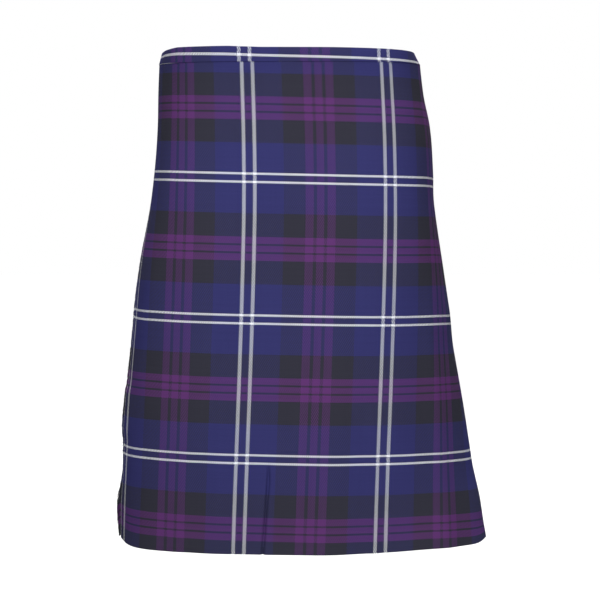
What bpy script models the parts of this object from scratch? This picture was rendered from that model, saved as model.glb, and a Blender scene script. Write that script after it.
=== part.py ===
"""A kilt filled out as if worn, with nobody in it.

Metres, +Z up, the front towards -Y and the wearer's left at +X. The origin is at the
centre of the waist, level with the top of the waistband, so that all of it hangs below.

One length of cloth goes round the body: over apron across the front, folded edge at
+X, knife pleats round the back, and under apron across the front again, inside.
Every piece is laid out in three measures: the arc round the body at its height, the
depth outwards from the over apron's outer face, and the height. Sections place them.
"""

import math

import bmesh
import bpy
import numpy as np

MM = 0.001

# Cloth, in millimetres
WALL = 1.1
HALF = WALL / 2
SEAM = 0.3
BAND_HEIGHT = 15.0
CLOTH_TOP = -BAND_HEIGHT - SEAM
HEM = -608.0
PLEAT_HEM = -606.0
UNDER_HEM = -599.0

# Plan of the outer face, one row a height. x0 is the foremost point. left and right
# are its reaches to the sides, and side is where the plan is widest. p sets how flat
# the front is and q how full the flanks are. grain is the arc from the foremost point
# to the middle of the over apron's pattern.
PLAN_COLUMNS = ("z", "x0", "left", "right", "front", "side", "back", "p_left", "q_left", "p_right", "q_right", "grain")
PLAN = (
    (-610, 23.5, 237.0, 223.5, -174, -68, 186, 2.4, 2.30, 2.05, 1.70, 0.0),
    (-538, 18.0, 231.0, 217.0, -170, -60, 178, 2.6, 2.32, 2.10, 1.65, 8.0),
    (-435, 14.0, 222.0, 205.0, -163, -50, 168, 3.0, 2.35, 2.40, 1.70, 16.0),
    (-353, 11.5, 211.0, 193.0, -156, -44, 160, 3.3, 2.48, 2.85, 1.78, 21.5),
    (-271, 11.0, 201.0, 181.0, -149, -37, 154, 3.5, 2.65, 3.30, 1.98, 24.5),
    (-182, 12.0, 186.0, 167.5, -139, -30, 146, 3.6, 2.85, 3.50, 2.25, 25.0),
    (-96, 12.0, 179.0, 162.0, -125, -15, 126, 3.3, 2.80, 3.40, 2.38, 24.0),
    (-47, 10.5, 177.0, 156.5, -118, -7, 116, 3.0, 2.60, 3.20, 2.42, 24.0),
    (0, 9.0, 174.0, 153.0, -112, 0, 112, 2.9, 2.50, 3.00, 2.42, 24.0),
)
BACK_P = 2.3
BACK_Q = 2.25
PLAN_STEP = 1.0
PLAN_SOFTEN = 9.0

# The over apron, in arc from the middle of its pattern
APRON_EDGE = -264.0
FOLD_COLUMNS = ("z", "fold", "lead", "pitch", "tuck")
FOLDS = (
    # fold: the folded edge; lead: from there to the first pleat; pitch: from layer to
    # layer; tuck: how far each pleat's hidden layers reach under it
    (-610, 250.0, 62.0, 3.3, 23.0),
    (-400, 249.0, 58.0, 2.6, 19.0),
    (-200, 243.0, 53.0, 1.7, 15.5),
    (-100, 234.0, 51.0, 1.55, 13.5),
    (0, 224.0, 50.0, 1.5, 12.0),
)
RETURN_DEPTH = 30.0
PLEATS = 21
LAST_FOLD_BEHIND = 8.0
OVERLAP_DROP = 4.2
DROP_FROM = 36.0
DROP_TO = 66.0

UNDER_DEPTH = -2.8
UNDER_DEPTH_AT_EDGE = -4.8
UNDER_END = (180.0, 200.0)

LEVELS = (CLOTH_TOP, -18.6, -43.4, -92.0, -145.0, -172.0, -222.0, -290.0, -362.0, -435.0, -515.0)
SLIT = (12.5, 21.0)

# Fringe
STRAND_PITCH = 3.3
STRAND_WIDTH = 1.1
STRAND_REACH = 13.5

# Straps and buckles, measured back from the edge that each strap comes out at
STRAP_WIDTH = 24.0
STRAP_WALL = 2.0
TAB_WALL = 1.2
FRONT_BAR = 58.0
HEEL_BAR = 74.0
STRAP_TIP = 130.0
WAIST_STRAP_Z = -31.0
HIP_STRAP_Z = -158.0

MATERIALS = {
    "tartan": ((0.048, 0.038, 0.122), 0.85, 0.0),
    "waistband": ((0.045, 0.038, 0.12), 0.85, 0.0),
    "fringe": ((0.05, 0.032, 0.1), 0.9, 0.0),
    "leather": ((0.014, 0.012, 0.012), 0.45, 0.0),
    "metal": ((0.62, 0.62, 0.63), 0.2, 1.0),
}


def clear_scene():
    """Removes what the startup scene holds."""
    for obj in list(bpy.data.objects):
        bpy.data.objects.remove(obj, do_unlink=True)


def smooth_at(z, table, column):
    """The value of a table's column at a height, by cubic interpolation between its rows."""
    rows = np.array(table, float)
    heights, values = rows[:, 0], rows[:, column]
    slopes = np.gradient(values, heights)
    i = int(np.clip(np.searchsorted(heights, z) - 1, 0, len(heights) - 2))
    span = heights[i + 1] - heights[i]
    t = (z - heights[i]) / span
    return float(
        (2 * t**3 - 3 * t**2 + 1) * values[i]
        + (t**3 - 2 * t**2 + t) * span * slopes[i]
        + (3 * t**2 - 2 * t**3) * values[i + 1]
        + (t**3 - t**2) * span * slopes[i + 1]
    )


def plan_at(z, name):
    return smooth_at(z, PLAN, PLAN_COLUMNS.index(name))


def fold_at(z, name):
    return smooth_at(z, FOLDS, FOLD_COLUMNS.index(name))


def ease(t):
    """0 to 1 with level ends."""
    t = min(max(t, 0.0), 1.0)
    return t * t * (3 - 2 * t)


class Section:
    """The plan of the outer face at one height, walked from the foremost point towards +X."""

    made = {}

    def __init__(self, z):
        row = {name: plan_at(z, name) for name in PLAN_COLUMNS}
        t = (1 - np.cos(np.linspace(0, math.pi, 161))) * math.pi / 4
        front, back = row["side"] - row["front"], row["back"] - row["side"]
        quarters = (
            (row["right"], -front, row["p_right"], row["q_right"], t),
            (row["right"], back, BACK_P, BACK_Q, t[::-1]),
            (-row["left"], back, BACK_P, BACK_Q, t),
            (-row["left"], -front, row["p_left"], row["q_left"], t[::-1]),
        )
        points = []
        for reach, depth, p, q, angle in quarters:
            x = row["x0"] + reach * np.clip(np.sin(angle), 0, 1) ** (2 / p)
            y = row["side"] + depth * np.clip(np.cos(angle), 0, 1) ** (2 / q)
            points.append(np.stack([x, y], axis=1)[:-1])
        xy = self.even(np.concatenate(points))
        xy = self.softened(xy)
        low, high = xy[:, 0].min(), xy[:, 0].max()
        x = xy[:, 0] - row["x0"]
        x = np.where(x > 0, x * row["right"] / (high - row["x0"]), x * row["left"] / (row["x0"] - low))
        self.xy = self.even(np.stack([x + row["x0"], xy[:, 1]], axis=1))
        self.length = float(np.hypot(*np.diff(np.vstack([self.xy, self.xy[:1]]), axis=0).T).sum())
        reach = 4
        along = np.roll(self.xy, -reach, axis=0) - np.roll(self.xy, reach, axis=0)
        along /= np.hypot(*along.T)[:, None]
        self.out = np.stack([along[:, 1], -along[:, 0]], axis=1)
        self.grain = row["grain"]

    @staticmethod
    def even(xy):
        """The closed line with its points evenly spaced."""
        closed = np.vstack([xy, xy[:1]])
        s = np.concatenate([[0], np.cumsum(np.hypot(*np.diff(closed, axis=0).T))])
        at = np.linspace(0, s[-1], int(round(s[-1] / PLAN_STEP)), endpoint=False)
        return np.stack([np.interp(at, s, closed[:, 0]), np.interp(at, s, closed[:, 1])], axis=1)

    @staticmethod
    def softened(xy):
        """The closed line with its tightest bends rounded."""
        reach = int(4 * PLAN_SOFTEN / PLAN_STEP)
        offsets = np.arange(-reach, reach + 1)
        weights = np.exp(-0.5 * (offsets * PLAN_STEP / PLAN_SOFTEN) ** 2)
        weights /= weights.sum()
        return sum(w * np.roll(xy, -o, axis=0) for o, w in zip(offsets, weights))

    def place(self, s, d):
        """The point at arc s and depth d."""
        n = len(self.xy)
        at = (s % self.length) / self.length * n
        i = int(at) % n
        f = at - int(at)
        j = (i + 1) % n
        xy = self.xy[i] * (1 - f) + self.xy[j] * f
        out = self.out[i] * (1 - f) + self.out[j] * f
        return xy + out * d

    @classmethod
    def at(cls, z):
        key = round(z, 2)
        if key not in cls.made:
            cls.made[key] = cls(key)
        return cls.made[key]


def place(s, d, z):
    x, y = Section.at(z).place(s, d)
    return (x, y, z)


def front_edge(z):
    """Arc of the over apron's free edge, walking forwards from the front."""
    return APRON_EDGE + Section.at(z).grain


def back_edge(z):
    """The same edge, reached round the back."""
    return Section.at(z).length + front_edge(z)


def fold_edge(z):
    """Arc of the over apron's folded edge."""
    return fold_at(z, "fold") + Section.at(z).grain


def drop(behind):
    """How far the pleats lie deeper where the over apron, its fringe and the straps cross them."""
    return -OVERLAP_DROP * (1 - ease((behind - DROP_FROM) / (DROP_TO - DROP_FROM)))


def sides_of(path, half):
    """The two sides of a wall along a line, mitred at its corners."""
    path = np.array(path, float)
    along = np.diff(path, axis=0)
    along /= np.hypot(*along.T)[:, None]
    across = np.stack([-along[:, 1], along[:, 0]], axis=1)
    first, last = across[:1], across[-1:]
    mid = across[:-1] + across[1:]
    mid /= 1 + (across[:-1] * across[1:]).sum(axis=1)[:, None]
    mitre = np.vstack([first, mid, last])
    return path + half * mitre, path - half * mitre


def add_solid(name, points, faces, material):
    """One closed body, from points in millimetres."""
    mesh = bpy.data.meshes.new(name)
    mesh.from_pydata([tuple(c * MM for c in p) for p in points], [], faces)
    shape = bmesh.new()
    shape.from_mesh(mesh)
    bmesh.ops.recalc_face_normals(shape, faces=shape.faces)
    if shape.calc_volume(signed=True) < 0:
        bmesh.ops.reverse_faces(shape, faces=shape.faces)
    shape.to_mesh(mesh)
    shape.free()
    mesh.materials.append(material)
    obj = bpy.data.objects.new(name, mesh)
    bpy.context.scene.collection.objects.link(obj)
    return obj


def quad(faces, a, b, c, d, flip=False):
    """Two triangles, split along a-c, or along b-d when flipped."""
    faces += [(a, b, d), (b, c, d)] if flip else [(a, b, c), (a, c, d)]


def cloth_wall(levels, path_at, hole=None):
    """A wall that follows one line a height. hole is (level, station) of a cell left open."""
    points, faces, runs = [], [], []
    for z in levels:
        path = path_at(z)
        outer, inner = sides_of(path, HALF)
        points += [place(s, d, z) for s, d in outer]
        points += [place(s, d, z) for s, d in inner]
        runs.append(np.array(path)[:, 0])
    m = len(runs[0])
    row = 2 * m
    for k in range(len(levels) - 1):
        top, low = k * row, (k + 1) * row
        for j in range(m - 1):
            forwards = runs[k][j + 1] >= runs[k][j]
            if hole == (k, j):
                for a, b in (((top, j), (top, j + 1)), ((top, j + 1), (low, j + 1)), ((low, j + 1), (low, j)), ((low, j), (top, j))):
                    quad(faces, sum(a), sum(b), sum(b) + m, sum(a) + m)
                continue
            for side, turned in ((0, False), (m, True)):
                corners = [top + j, low + j, low + j + 1, top + j + 1]
                corners = [c + side for c in corners]
                if turned:
                    corners = corners[::-1]
                    quad(faces, *corners, flip=forwards)
                else:
                    quad(faces, *corners, flip=not forwards)
        for j, turned in ((0, False), (m - 1, True)):
            corners = [top + j, top + j + m, low + j + m, low + j]
            quad(faces, *(corners[::-1] if turned else corners))
    for base, turned in ((0, False), ((len(levels) - 1) * row, True)):
        for j in range(m - 1):
            corners = [base + j, base + j + 1, base + j + 1 + m, base + j + m]
            quad(faces, *(corners[::-1] if turned else corners))
    return points, faces


def over_apron_path(z):
    edge, fold, pitch = front_edge(z), fold_edge(z), fold_at(z, "pitch")
    face = list(np.linspace(edge, fold - RETURN_DEPTH, 38)) + [fold - 20, fold - 10, fold]
    inside = -HALF - pitch
    back = [(fold - x, inside) for x in (0, 10, 20, RETURN_DEPTH)]
    return [(s, -HALF) for s in face] + back


def pleat_path(z):
    """From the hidden layer at the over apron's fold to the hidden layer at the last pleat."""
    fold, end = fold_edge(z), back_edge(z)
    lead, pitch, tuck = (fold_at(z, name) for name in ("lead", "pitch", "tuck"))
    first, last = fold + lead, end - LAST_FOLD_BEHIND
    reveal = (last - first) / (PLEATS - 1)
    path = [(fold - x, -HALF - 2 * pitch) for x in (RETURN_DEPTH - 1.5, 20, 10, 0)]
    slope = 2 * pitch / lead
    path += [(fold + x, -HALF - slope * (lead - x)) for x in (*SLIT, 30.0, lead - tuck)]
    for i in range(PLEATS):
        at = first + i * reveal
        path += [(at, -HALF), (at, -HALF - pitch), (at - tuck, -HALF - pitch - slope * tuck)]
        if i == PLEATS - 1:
            break
        path += [(at - tuck, -HALF - 2 * pitch - slope * tuck), (at, -HALF - 2 * pitch)]
        slope = 2 * pitch / reveal
        path.append((at + reveal - tuck, -HALF - slope * tuck))
    return [(s, d + drop(end - s)) for s, d in path]


def pleat_reveal(z):
    return (back_edge(z) - LAST_FOLD_BEHIND - fold_edge(z) - fold_at(z, "lead")) / (PLEATS - 1)


def under_end(z):
    top, hem = UNDER_END
    return Section.at(z).length + Section.at(z).grain + top + (hem - top) * min(z / HEM, 1)


def under_apron_path(z):
    end = back_edge(z)
    pitch, tuck = fold_at(z, "pitch"), fold_at(z, "tuck")
    slope = 2 * pitch / pleat_reveal(z)
    inner = -HALF - OVERLAP_DROP - 2 * pitch
    start = LAST_FOLD_BEHIND + tuck - 1.2
    path = [(end - start, inner - slope * (tuck - 1.2)), (end - LAST_FOLD_BEHIND, inner)]
    path += [(end + 6, (inner * 2 + UNDER_DEPTH_AT_EDGE * 3) / 5), (end + 20, UNDER_DEPTH_AT_EDGE), (end + 33, UNDER_DEPTH_AT_EDGE)]
    path += [(end + 46, (UNDER_DEPTH_AT_EDGE + UNDER_DEPTH) / 2)]
    return path + [(s, UNDER_DEPTH) for s in np.linspace(end + 60, under_end(z), 31)]


def add_cloth(materials):
    apron_levels = LEVELS + (HEM,)
    add_solid("apron_over", *cloth_wall(apron_levels, over_apron_path), materials["tartan"])
    back_levels = LEVELS + (PLEAT_HEM,)
    add_solid("back_pleats", *cloth_wall(back_levels, pleat_path, hole=(1, 4)), materials["tartan"])
    under_levels = tuple(z for z in LEVELS if z != -18.6) + (UNDER_HEM,)
    add_solid("apron_under", *cloth_wall(under_levels, under_apron_path), materials["tartan"])


def band_ring(stations, name, material):
    """A strip along the top edge. stations are (arc, outer depth, inner depth)."""
    points, faces = [], []
    for z in (0.0, -BAND_HEIGHT):
        lift = Section.at(z).length - Section.at(0.0).length
        grain = Section.at(z).grain - Section.at(0.0).grain
        for s, outer, inner, round_back in stations:
            arc = s + grain + lift * round_back
            points += [place(arc, outer, z), place(arc, inner, z)]
    n = len(stations)
    row = 2 * n
    for j in range(n - 1):
        a, b = 2 * j, 2 * j + 2
        quad(faces, a, a + row, b + row, b)
        quad(faces, a + 1, b + 1, b + 1 + row, a + 1 + row)
        quad(faces, a, b, b + 1, a + 1)
        quad(faces, a + row, a + 1 + row, b + 1 + row, b + row)
    quad(faces, 0, 1, 1 + row, row)
    last = 2 * n - 2
    quad(faces, last, last + row, last + 1 + row, last + 1)
    add_solid(name, points, faces, material)


def add_waistbands(materials):
    edge, fold, end = front_edge(0.0), fold_edge(0.0), back_edge(0.0)
    length = Section.at(0.0).length
    front = [(s, 0.5, -1.7, 0) for s in np.linspace(edge, fold - 1, 42)]
    back = []
    for s in np.linspace(fold + 3, end + 6, 40):
        deeper = drop(end - s)
        back.append((s, 0.5 + deeper, -4.6 + deeper, (s - fold) / (end - fold)))
    band_ring(front + back, "waistband", materials["waistband"])
    inner = []
    for s in np.linspace(edge, fold - 1, 42):
        beyond = s - edge
        if beyond < 7 or s > under_end(0.0) - length:
            continue
        middle = UNDER_DEPTH_AT_EDGE + (UNDER_DEPTH - UNDER_DEPTH_AT_EDGE) * ease((beyond - 33) / 27)
        inner.append((s + length, middle + 0.8, middle - 1.4, 1))
    band_ring(inner, "waistband_under", materials["waistband"])


def add_fringe(materials):
    """Yarns that stand out from a narrow strip along the over apron's free edge."""
    near, far, outer, inner = SEAM, SEAM + 2.5, -0.1, -1.0
    top, low = CLOTH_TOP - 1.0, HEM + 2.0
    count = int((top - low - 1.0) / STRAND_PITCH)
    pitch = (top - low) / count
    fine = []
    for i in range(count):
        start = top - i * pitch - (pitch - STRAND_WIDTH) / 2
        fine += [start, start - STRAND_WIDTH]
    fine = [top] + fine + [low]
    coarse = [top] + [z for z in LEVELS if z < top - 5] + [low]
    points, faces = [], []

    def add(behind, d, z):
        points.append(place(back_edge(z) - behind, d, z))
        return len(points) - 1

    near_out = [add(near, outer, z) for z in coarse]
    near_in = [add(near, inner, z) for z in coarse]
    far_out = [add(far, outer, z) for z in fine]
    far_in = [add(far, inner, z) for z in fine]
    for rough, dense in ((near_out, far_out), (near_in, far_in)):
        i = j = 0
        while i < len(coarse) - 1 or j < len(fine) - 1:
            step_dense = i == len(coarse) - 1 or (
                j < len(fine) - 1 and abs(fine[j + 1] - coarse[i]) < abs(coarse[i + 1] - fine[j])
            )
            if step_dense:
                faces.append((rough[i], dense[j], dense[j + 1]))
                j += 1
            else:
                faces.append((rough[i], dense[j], rough[i + 1]))
                i += 1
    for i in range(len(coarse) - 1):
        quad(faces, near_out[i], near_in[i], near_in[i + 1], near_out[i + 1])
    quad(faces, near_out[0], far_out[0], far_in[0], near_in[0])
    quad(faces, near_out[-1], near_in[-1], far_in[-1], far_out[-1])
    for j in range(len(fine) - 1):
        root = [far_out[j], far_in[j], far_in[j + 1], far_out[j + 1]]
        if j % 2 == 0:
            quad(faces, *root)
            continue
        i = j // 2
        reach = STRAND_REACH + 1.6 * math.sin(i * 2.4) + 0.9 * math.sin(i * 5.1 + 1)
        middle = (fine[j] + fine[j + 1]) / 2 - 1.0 - 0.5 * math.sin(i * 1.7)
        depth = -0.5 + 0.15 * math.sin(i * 3.3)
        half = 0.32
        tip = [add(far + reach, depth + a * half, middle + b * half) for a, b in ((1, 1), (-1, 1), (-1, -1), (1, -1))]
        for k in range(4):
            quad(faces, root[k], root[(k + 1) % 4], tip[(k + 1) % 4], tip[k])
        quad(faces, *tip)
    add_solid("fringe", points, faces, materials["fringe"])


class Line:
    """A line of (along, up) points that a ribbon follows, read by the length along it."""

    def __init__(self, points):
        self.points = np.array(points, float)
        steps = np.hypot(*np.diff(self.points, axis=0).T)
        self.at = np.concatenate([[0], np.cumsum(steps)])
        self.length = float(self.at[-1])

    def point(self, s):
        return np.array([np.interp(s, self.at, self.points[:, i]) for i in (0, 1)])

    def offset(self, s, up):
        """The point at this length, moved off the line, mitred where it bends."""
        i = int(np.clip(np.searchsorted(self.at, s - 1e-6), 1, len(self.at) - 1))
        along = self.points[i] - self.points[i - 1]
        along /= np.hypot(*along)
        across = np.array([-along[1], along[0]])
        if abs(s - self.at[i]) < 1e-6 and i < len(self.at) - 1:
            after = self.points[i + 1] - self.points[i]
            after /= np.hypot(*after)
            other = np.array([-after[1], after[0]])
            across = (across + other) / (1 + across @ other)
        return self.point(s) + up * across


def ribbon(line, wall, half_width, most=8.0, holes=(), slots=(), column=2.4):
    """A flat strip along a line, as (along, across, up) points and faces.

    half_width gives half the strip's width at a length. holes are lengths of round
    holes, and slots are (start, end) lengths of a long hole, both in its middle.
    """
    cuts = set()
    for start, end in zip(line.at[:-1], line.at[1:]):
        pieces = max(1, math.ceil((end - start) / most))
        cuts |= {round(float(v), 5) for v in np.linspace(start, end, pieces + 1)}
    for a, b in [(h - column, h + column) for h in holes]:
        cuts = {c for c in cuts if not a - 0.8 < c < b + 0.8} | {round(a, 5), round(b, 5)}
    for a, b in slots:
        cuts |= {round(a, 5), round(b, 5)}
    cuts = sorted(cuts)
    split = bool(holes or slots)
    points, faces = [], []

    def add(s, across, side):
        along, up = line.offset(s, side * wall / 2)
        points.append((along, across, up))
        return len(points) - 1

    grid = []
    for s in cuts:
        width = half_width(s)
        inner = min(column, width * 0.75)
        across = [-width, -inner, inner, width] if split else [-width, width]
        grid.append([[add(s, v, side) for v in across] for side in (1, -1)])
    columns = len(grid[0][0]) - 1
    for k in range(len(cuts) - 1):
        here, there = grid[k], grid[k + 1]
        hole = [h for h in holes if abs(cuts[k] - (h - column)) < 1e-4]
        slot = [1 for a, b in slots if cuts[k] > a - 1e-4 and cuts[k + 1] < b + 1e-4]
        for j in range(columns):
            if j == 1 and hole:
                rings = []
                for side in (1, -1):
                    ring = []
                    for n in range(8):
                        angle = math.radians(22.5 + 45 * n)
                        ring.append(add(hole[0] + 1.8 * math.cos(angle), 1.8 * math.sin(angle), side))
                    rings.append(ring)
                for ring, face in zip(rings, (0, 1)):
                    corners = [there[face][2], here[face][2], here[face][1], there[face][1]]
                    for n in range(4):
                        after = (n + 1) % 4
                        faces.append((corners[n], ring[2 * n], ring[2 * n + 1]))
                        quad(faces, corners[n], ring[2 * n + 1], ring[(2 * n + 2) % 8], corners[after])
                for n in range(8):
                    quad(faces, rings[0][n], rings[0][(n + 1) % 8], rings[1][(n + 1) % 8], rings[1][n])
                continue
            if j == 1 and slot:
                for line_side in (1, 2):
                    quad(faces, here[0][line_side], there[0][line_side], there[1][line_side], here[1][line_side])
                if any(abs(cuts[k] - a) < 1e-4 for a, b in slots):
                    quad(faces, here[0][1], here[0][2], here[1][2], here[1][1])
                if any(abs(cuts[k + 1] - b) < 1e-4 for a, b in slots):
                    quad(faces, there[0][1], there[0][2], there[1][2], there[1][1])
                continue
            for face in (0, 1):
                quad(faces, here[face][j], here[face][j + 1], there[face][j + 1], there[face][j])
        for j in (0, columns):
            quad(faces, here[0][j], there[0][j], there[1][j], here[1][j])
    for end in (grid[0], grid[-1]):
        for j in range(columns):
            quad(faces, end[0][j], end[0][j + 1], end[1][j + 1], end[1][j])
    return points, faces


def rod(path, radius, closed=False, sides=6):
    """A round bar along (along, across, up) points."""
    path = [np.array(p, float) for p in path]
    n = len(path)
    points, faces = [], []
    for i, p in enumerate(path):
        before = path[i - 1] if closed or i else p
        after = path[(i + 1) % n] if closed or i < n - 1 else p
        way = after - before
        way /= np.linalg.norm(way)
        up = np.array([0, 0, 1.0])
        side = np.cross(way, up)
        side /= np.linalg.norm(side)
        up = np.cross(side, way)
        stretch = 1.0
        if closed or 0 < i < n - 1:
            a, b = p - before, after - p
            turn = np.dot(a, b) / np.linalg.norm(a) / np.linalg.norm(b)
            stretch = 1 / math.sqrt(max((1 + turn) / 2, 0.3))
        for k in range(sides):
            angle = 2 * math.pi * (k + 0.5) / sides
            points.append(tuple(p + side * radius * stretch * math.cos(angle) + up * radius * math.sin(angle)))
    for i in range(n if closed else n - 1):
        a, b = i * sides, ((i + 1) % n) * sides
        for k in range(sides):
            m = (k + 1) % sides
            quad(faces, a + k, a + m, b + m, b + k)
    if not closed:
        for base in (0, (n - 1) * sides):
            faces += [(base, base + k, base + k + 1) for k in range(1, sides - 1)]
    return points, faces


def strap_end(front=FRONT_BAR, heel=HEEL_BAR, tip=STRAP_TIP):
    """The strap from the cloth through the buckle to its point, as (behind, depth)."""
    flat, over, rest = 1.8, 8.1, 4.9
    return [(front - 6, flat), (front + 1.5, flat), (heel - 3.0, over), (heel + 4.0, over), (heel + 12.5, rest), (heel + 31, rest), (heel + 40, flat + 0.2), (tip, flat + 0.2)]


STRAPS = {
    # name: (edge it comes out at, direction of the arc, height, line before the buckle)
    "right_waist": (back_edge, -1, WAIST_STRAP_Z, [(-28, -2.75), (6, -2.75), (19, -2.2), (32, 1.8)]),
    "right_hip": (back_edge, -1, HIP_STRAP_Z, [(-28, -2.75), (6, -2.75), (19, -2.2), (32, 1.8)]),
    "left_waist": (fold_edge, 1, WAIST_STRAP_Z, [(-76, -4.9), (-48, -4.9), (-36, -6.0), (10.5, -6.0), (23.5, 1.8)]),
}


def add_closures(materials):
    """Three straps, each with its buckle, leather tab and keeper."""
    for name, (edge, way, height, start) in STRAPS.items():

        def solid(label, shape, material):
            points, faces = shape
            placed = [place(edge(height + v) + way * q, d, height + v) for q, v, d in points]
            add_solid(f"{label}_{name}", placed, faces, materials[material])

        half = STRAP_WIDTH / 2
        line = Line(start + strap_end())
        reach = {q: float(np.interp(q, line.points[:, 0], line.at)) for q in (FRONT_BAR, HEEL_BAR, STRAP_TIP)}
        pinned = reach[FRONT_BAR] + 8.2
        holes = [pinned - 14, pinned] + [reach[STRAP_TIP] - back for back in (48, 34, 20)]
        tip = line.length

        def strap_half(s):
            return half if s < tip - 12 else half * (0.3 + 0.7 * math.sqrt(max((tip - s) / 12, 0)))

        strap = ribbon(line, STRAP_WALL, strap_half, most=11.0, holes=holes)
        solid("strap", strap, "leather")

        wide = half + 3.2
        long = 1.2
        low, high = 3.5, 4.7
        corner = 2.4
        ring = [
            (FRONT_BAR, -wide + corner, high),
            (FRONT_BAR, wide - corner, high),
            (FRONT_BAR + corner, wide, high - 0.2),
            (HEEL_BAR - corner, wide, low + 0.2),
            (HEEL_BAR, wide - corner, low),
            (HEEL_BAR, -wide + corner, low),
            (HEEL_BAR - corner, -wide, low + 0.2),
            (FRONT_BAR + corner, -wide, high - 0.2),
        ]
        solid("frame", rod(ring, long, closed=True), "metal")

        pin = [(HEEL_BAR - 1.8, 0, 3.6), (HEEL_BAR - 7.6, 0, 3.4), (HEEL_BAR - 9.4, 0, 6.7), (FRONT_BAR + 2.5, 0, 7.5), (FRONT_BAR - 2.4, 0, 7.3)]
        solid("prong", rod(pin, 0.85), "metal")

        bottom = 0.75 + TAB_WALL / 2
        top = low + 1.2 + 0.75 + TAB_WALL / 2
        nose = HEEL_BAR - 1.2 - 0.9 - TAB_WALL / 2
        tab = Line([
            (HEEL_BAR + 30, bottom),
            (HEEL_BAR - 0.3, bottom),
            (nose, low - 0.9),
            (nose, low + 1.1),
            (HEEL_BAR - 1.2, top),
            (HEEL_BAR + 2.5, top),
            (HEEL_BAR + 11.5, bottom + TAB_WALL + SEAM),
            (HEEL_BAR + 30, bottom + TAB_WALL + SEAM),
        ])
        slot = (float(tab.at[1]) + 0.6, float(tab.at[5]) - 0.6)
        solid("tab", ribbon(tab, TAB_WALL, lambda s: half - 0.5, most=8.0, slots=[slot], column=1.6), "leather")

        foot, leg, roof = 0.5, half + 1.1, 7.2
        hoop = Line([(-leg, foot), (-leg, roof - 1), (-leg + 1, roof), (leg - 1, roof), (leg, roof - 1), (leg, foot)])
        points, faces = ribbon(hoop, 1.2, lambda s: 4.0)
        middle = HEEL_BAR + 20
        solid("keeper", ([(middle + v, a, d) for a, v, d in points], faces), "leather")


def make_materials():
    made = {}
    for name, (colour, roughness, metallic) in MATERIALS.items():
        material = bpy.data.materials.new(name)
        material.use_nodes = True
        shader = material.node_tree.nodes["Principled BSDF"]
        shader.inputs["Base Color"].default_value = (*colour, 1)
        shader.inputs["Roughness"].default_value = roughness
        shader.inputs["Metallic"].default_value = metallic
        material.diffuse_color = (*colour, 1)
        made[name] = material
    return made


def main():
    clear_scene()
    materials = make_materials()
    add_cloth(materials)
    add_waistbands(materials)
    add_fringe(materials)
    add_closures(materials)


main()
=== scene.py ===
"""Looks of a Scottish kilt, filled out as if worn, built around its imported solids.

Sizes are in millimetres and meshes in metres. An arc runs round the body from its
foremost point towards the wearer's left, a depth runs outwards from the over apron's
outer face, and a height runs up from the top of the waistband.
"""

from __future__ import annotations

import logging
import math
from dataclasses import dataclass, field
from enum import Enum
from itertools import pairwise
from typing import Callable, Iterable, Mapping, Sequence, Union

import bmesh
import bpy
import numpy as np
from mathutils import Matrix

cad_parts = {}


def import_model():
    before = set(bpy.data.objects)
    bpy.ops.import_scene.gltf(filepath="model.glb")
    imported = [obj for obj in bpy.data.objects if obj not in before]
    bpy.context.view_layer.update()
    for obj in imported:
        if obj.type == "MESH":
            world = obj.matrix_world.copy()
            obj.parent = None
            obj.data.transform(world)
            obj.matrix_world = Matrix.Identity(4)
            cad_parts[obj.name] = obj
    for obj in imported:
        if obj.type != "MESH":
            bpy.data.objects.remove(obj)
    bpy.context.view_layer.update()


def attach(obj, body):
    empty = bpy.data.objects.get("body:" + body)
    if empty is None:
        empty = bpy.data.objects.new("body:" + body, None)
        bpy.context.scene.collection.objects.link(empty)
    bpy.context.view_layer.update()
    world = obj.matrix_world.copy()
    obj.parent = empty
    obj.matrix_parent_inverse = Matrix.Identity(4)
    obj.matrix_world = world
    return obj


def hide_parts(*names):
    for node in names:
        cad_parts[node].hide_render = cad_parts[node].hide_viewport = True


log = logging.getLogger("kilt")

MM = 0.001
BODY = "root"
WEAVE = "weave"

Array = np.ndarray
Face = tuple[int, ...]
Object = bpy.types.Object
Material = bpy.types.Material

# Cloth, as in the solids
WALL = 1.1
HALF = WALL / 2
SEAM = 0.3
BAND_HEIGHT = 15.0
CLOTH_TOP = -BAND_HEIGHT - SEAM
HEM = -608.0
APRON_EDGE = -264.0
PLEATS = 21
LAST_FOLD_BEHIND = 8.0


def ease(t: Array) -> Array:
    """Goes from 0 to 1 with level ends."""
    t = np.clip(t, 0.0, 1.0)
    return t * t * (3 - 2 * t)


@dataclass(frozen=True)
class Bell:
    """A soft bell: how high it is, where its middle is and how wide it is."""

    lift: float
    middle: float
    width: float

    def at(self, x: Array) -> Array:
        """Its height at places."""
        return self.lift * np.exp(-(((x - self.middle) / self.width) ** 2))


@dataclass(frozen=True)
class Step:
    """A soft step: how high it is, where it starts and how far it runs from there."""

    lift: float
    start: float
    run: float

    def at(self, x: Array) -> Array:
        """Its height at places."""
        return self.lift * ease((x - self.start) / self.run)


@dataclass(frozen=True)
class HeightTable:
    """Named values at heights, read by cubic interpolation between the rows."""

    columns: tuple[str, ...]
    rows: tuple[tuple[float, ...], ...]

    def at(self, z: float, name: str) -> float:
        """Reads one value.

        Args:
            z: The height.
            name: The column's name.

        Returns:
            The column's value at that height.
        """
        rows = np.array(self.rows, float)
        heights, values = rows[:, 0], rows[:, 1 + self.columns.index(name)]
        slopes = np.gradient(values, heights)
        i = int(np.clip(np.searchsorted(heights, z) - 1, 0, len(heights) - 2))
        span = heights[i + 1] - heights[i]
        t = (z - heights[i]) / span
        return float(
            (2 * t**3 - 3 * t**2 + 1) * values[i]
            + (t**3 - 2 * t**2 + t) * span * slopes[i]
            + (3 * t**2 - 2 * t**3) * values[i + 1]
            + (t**3 - t**2) * span * slopes[i + 1]
        )


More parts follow.
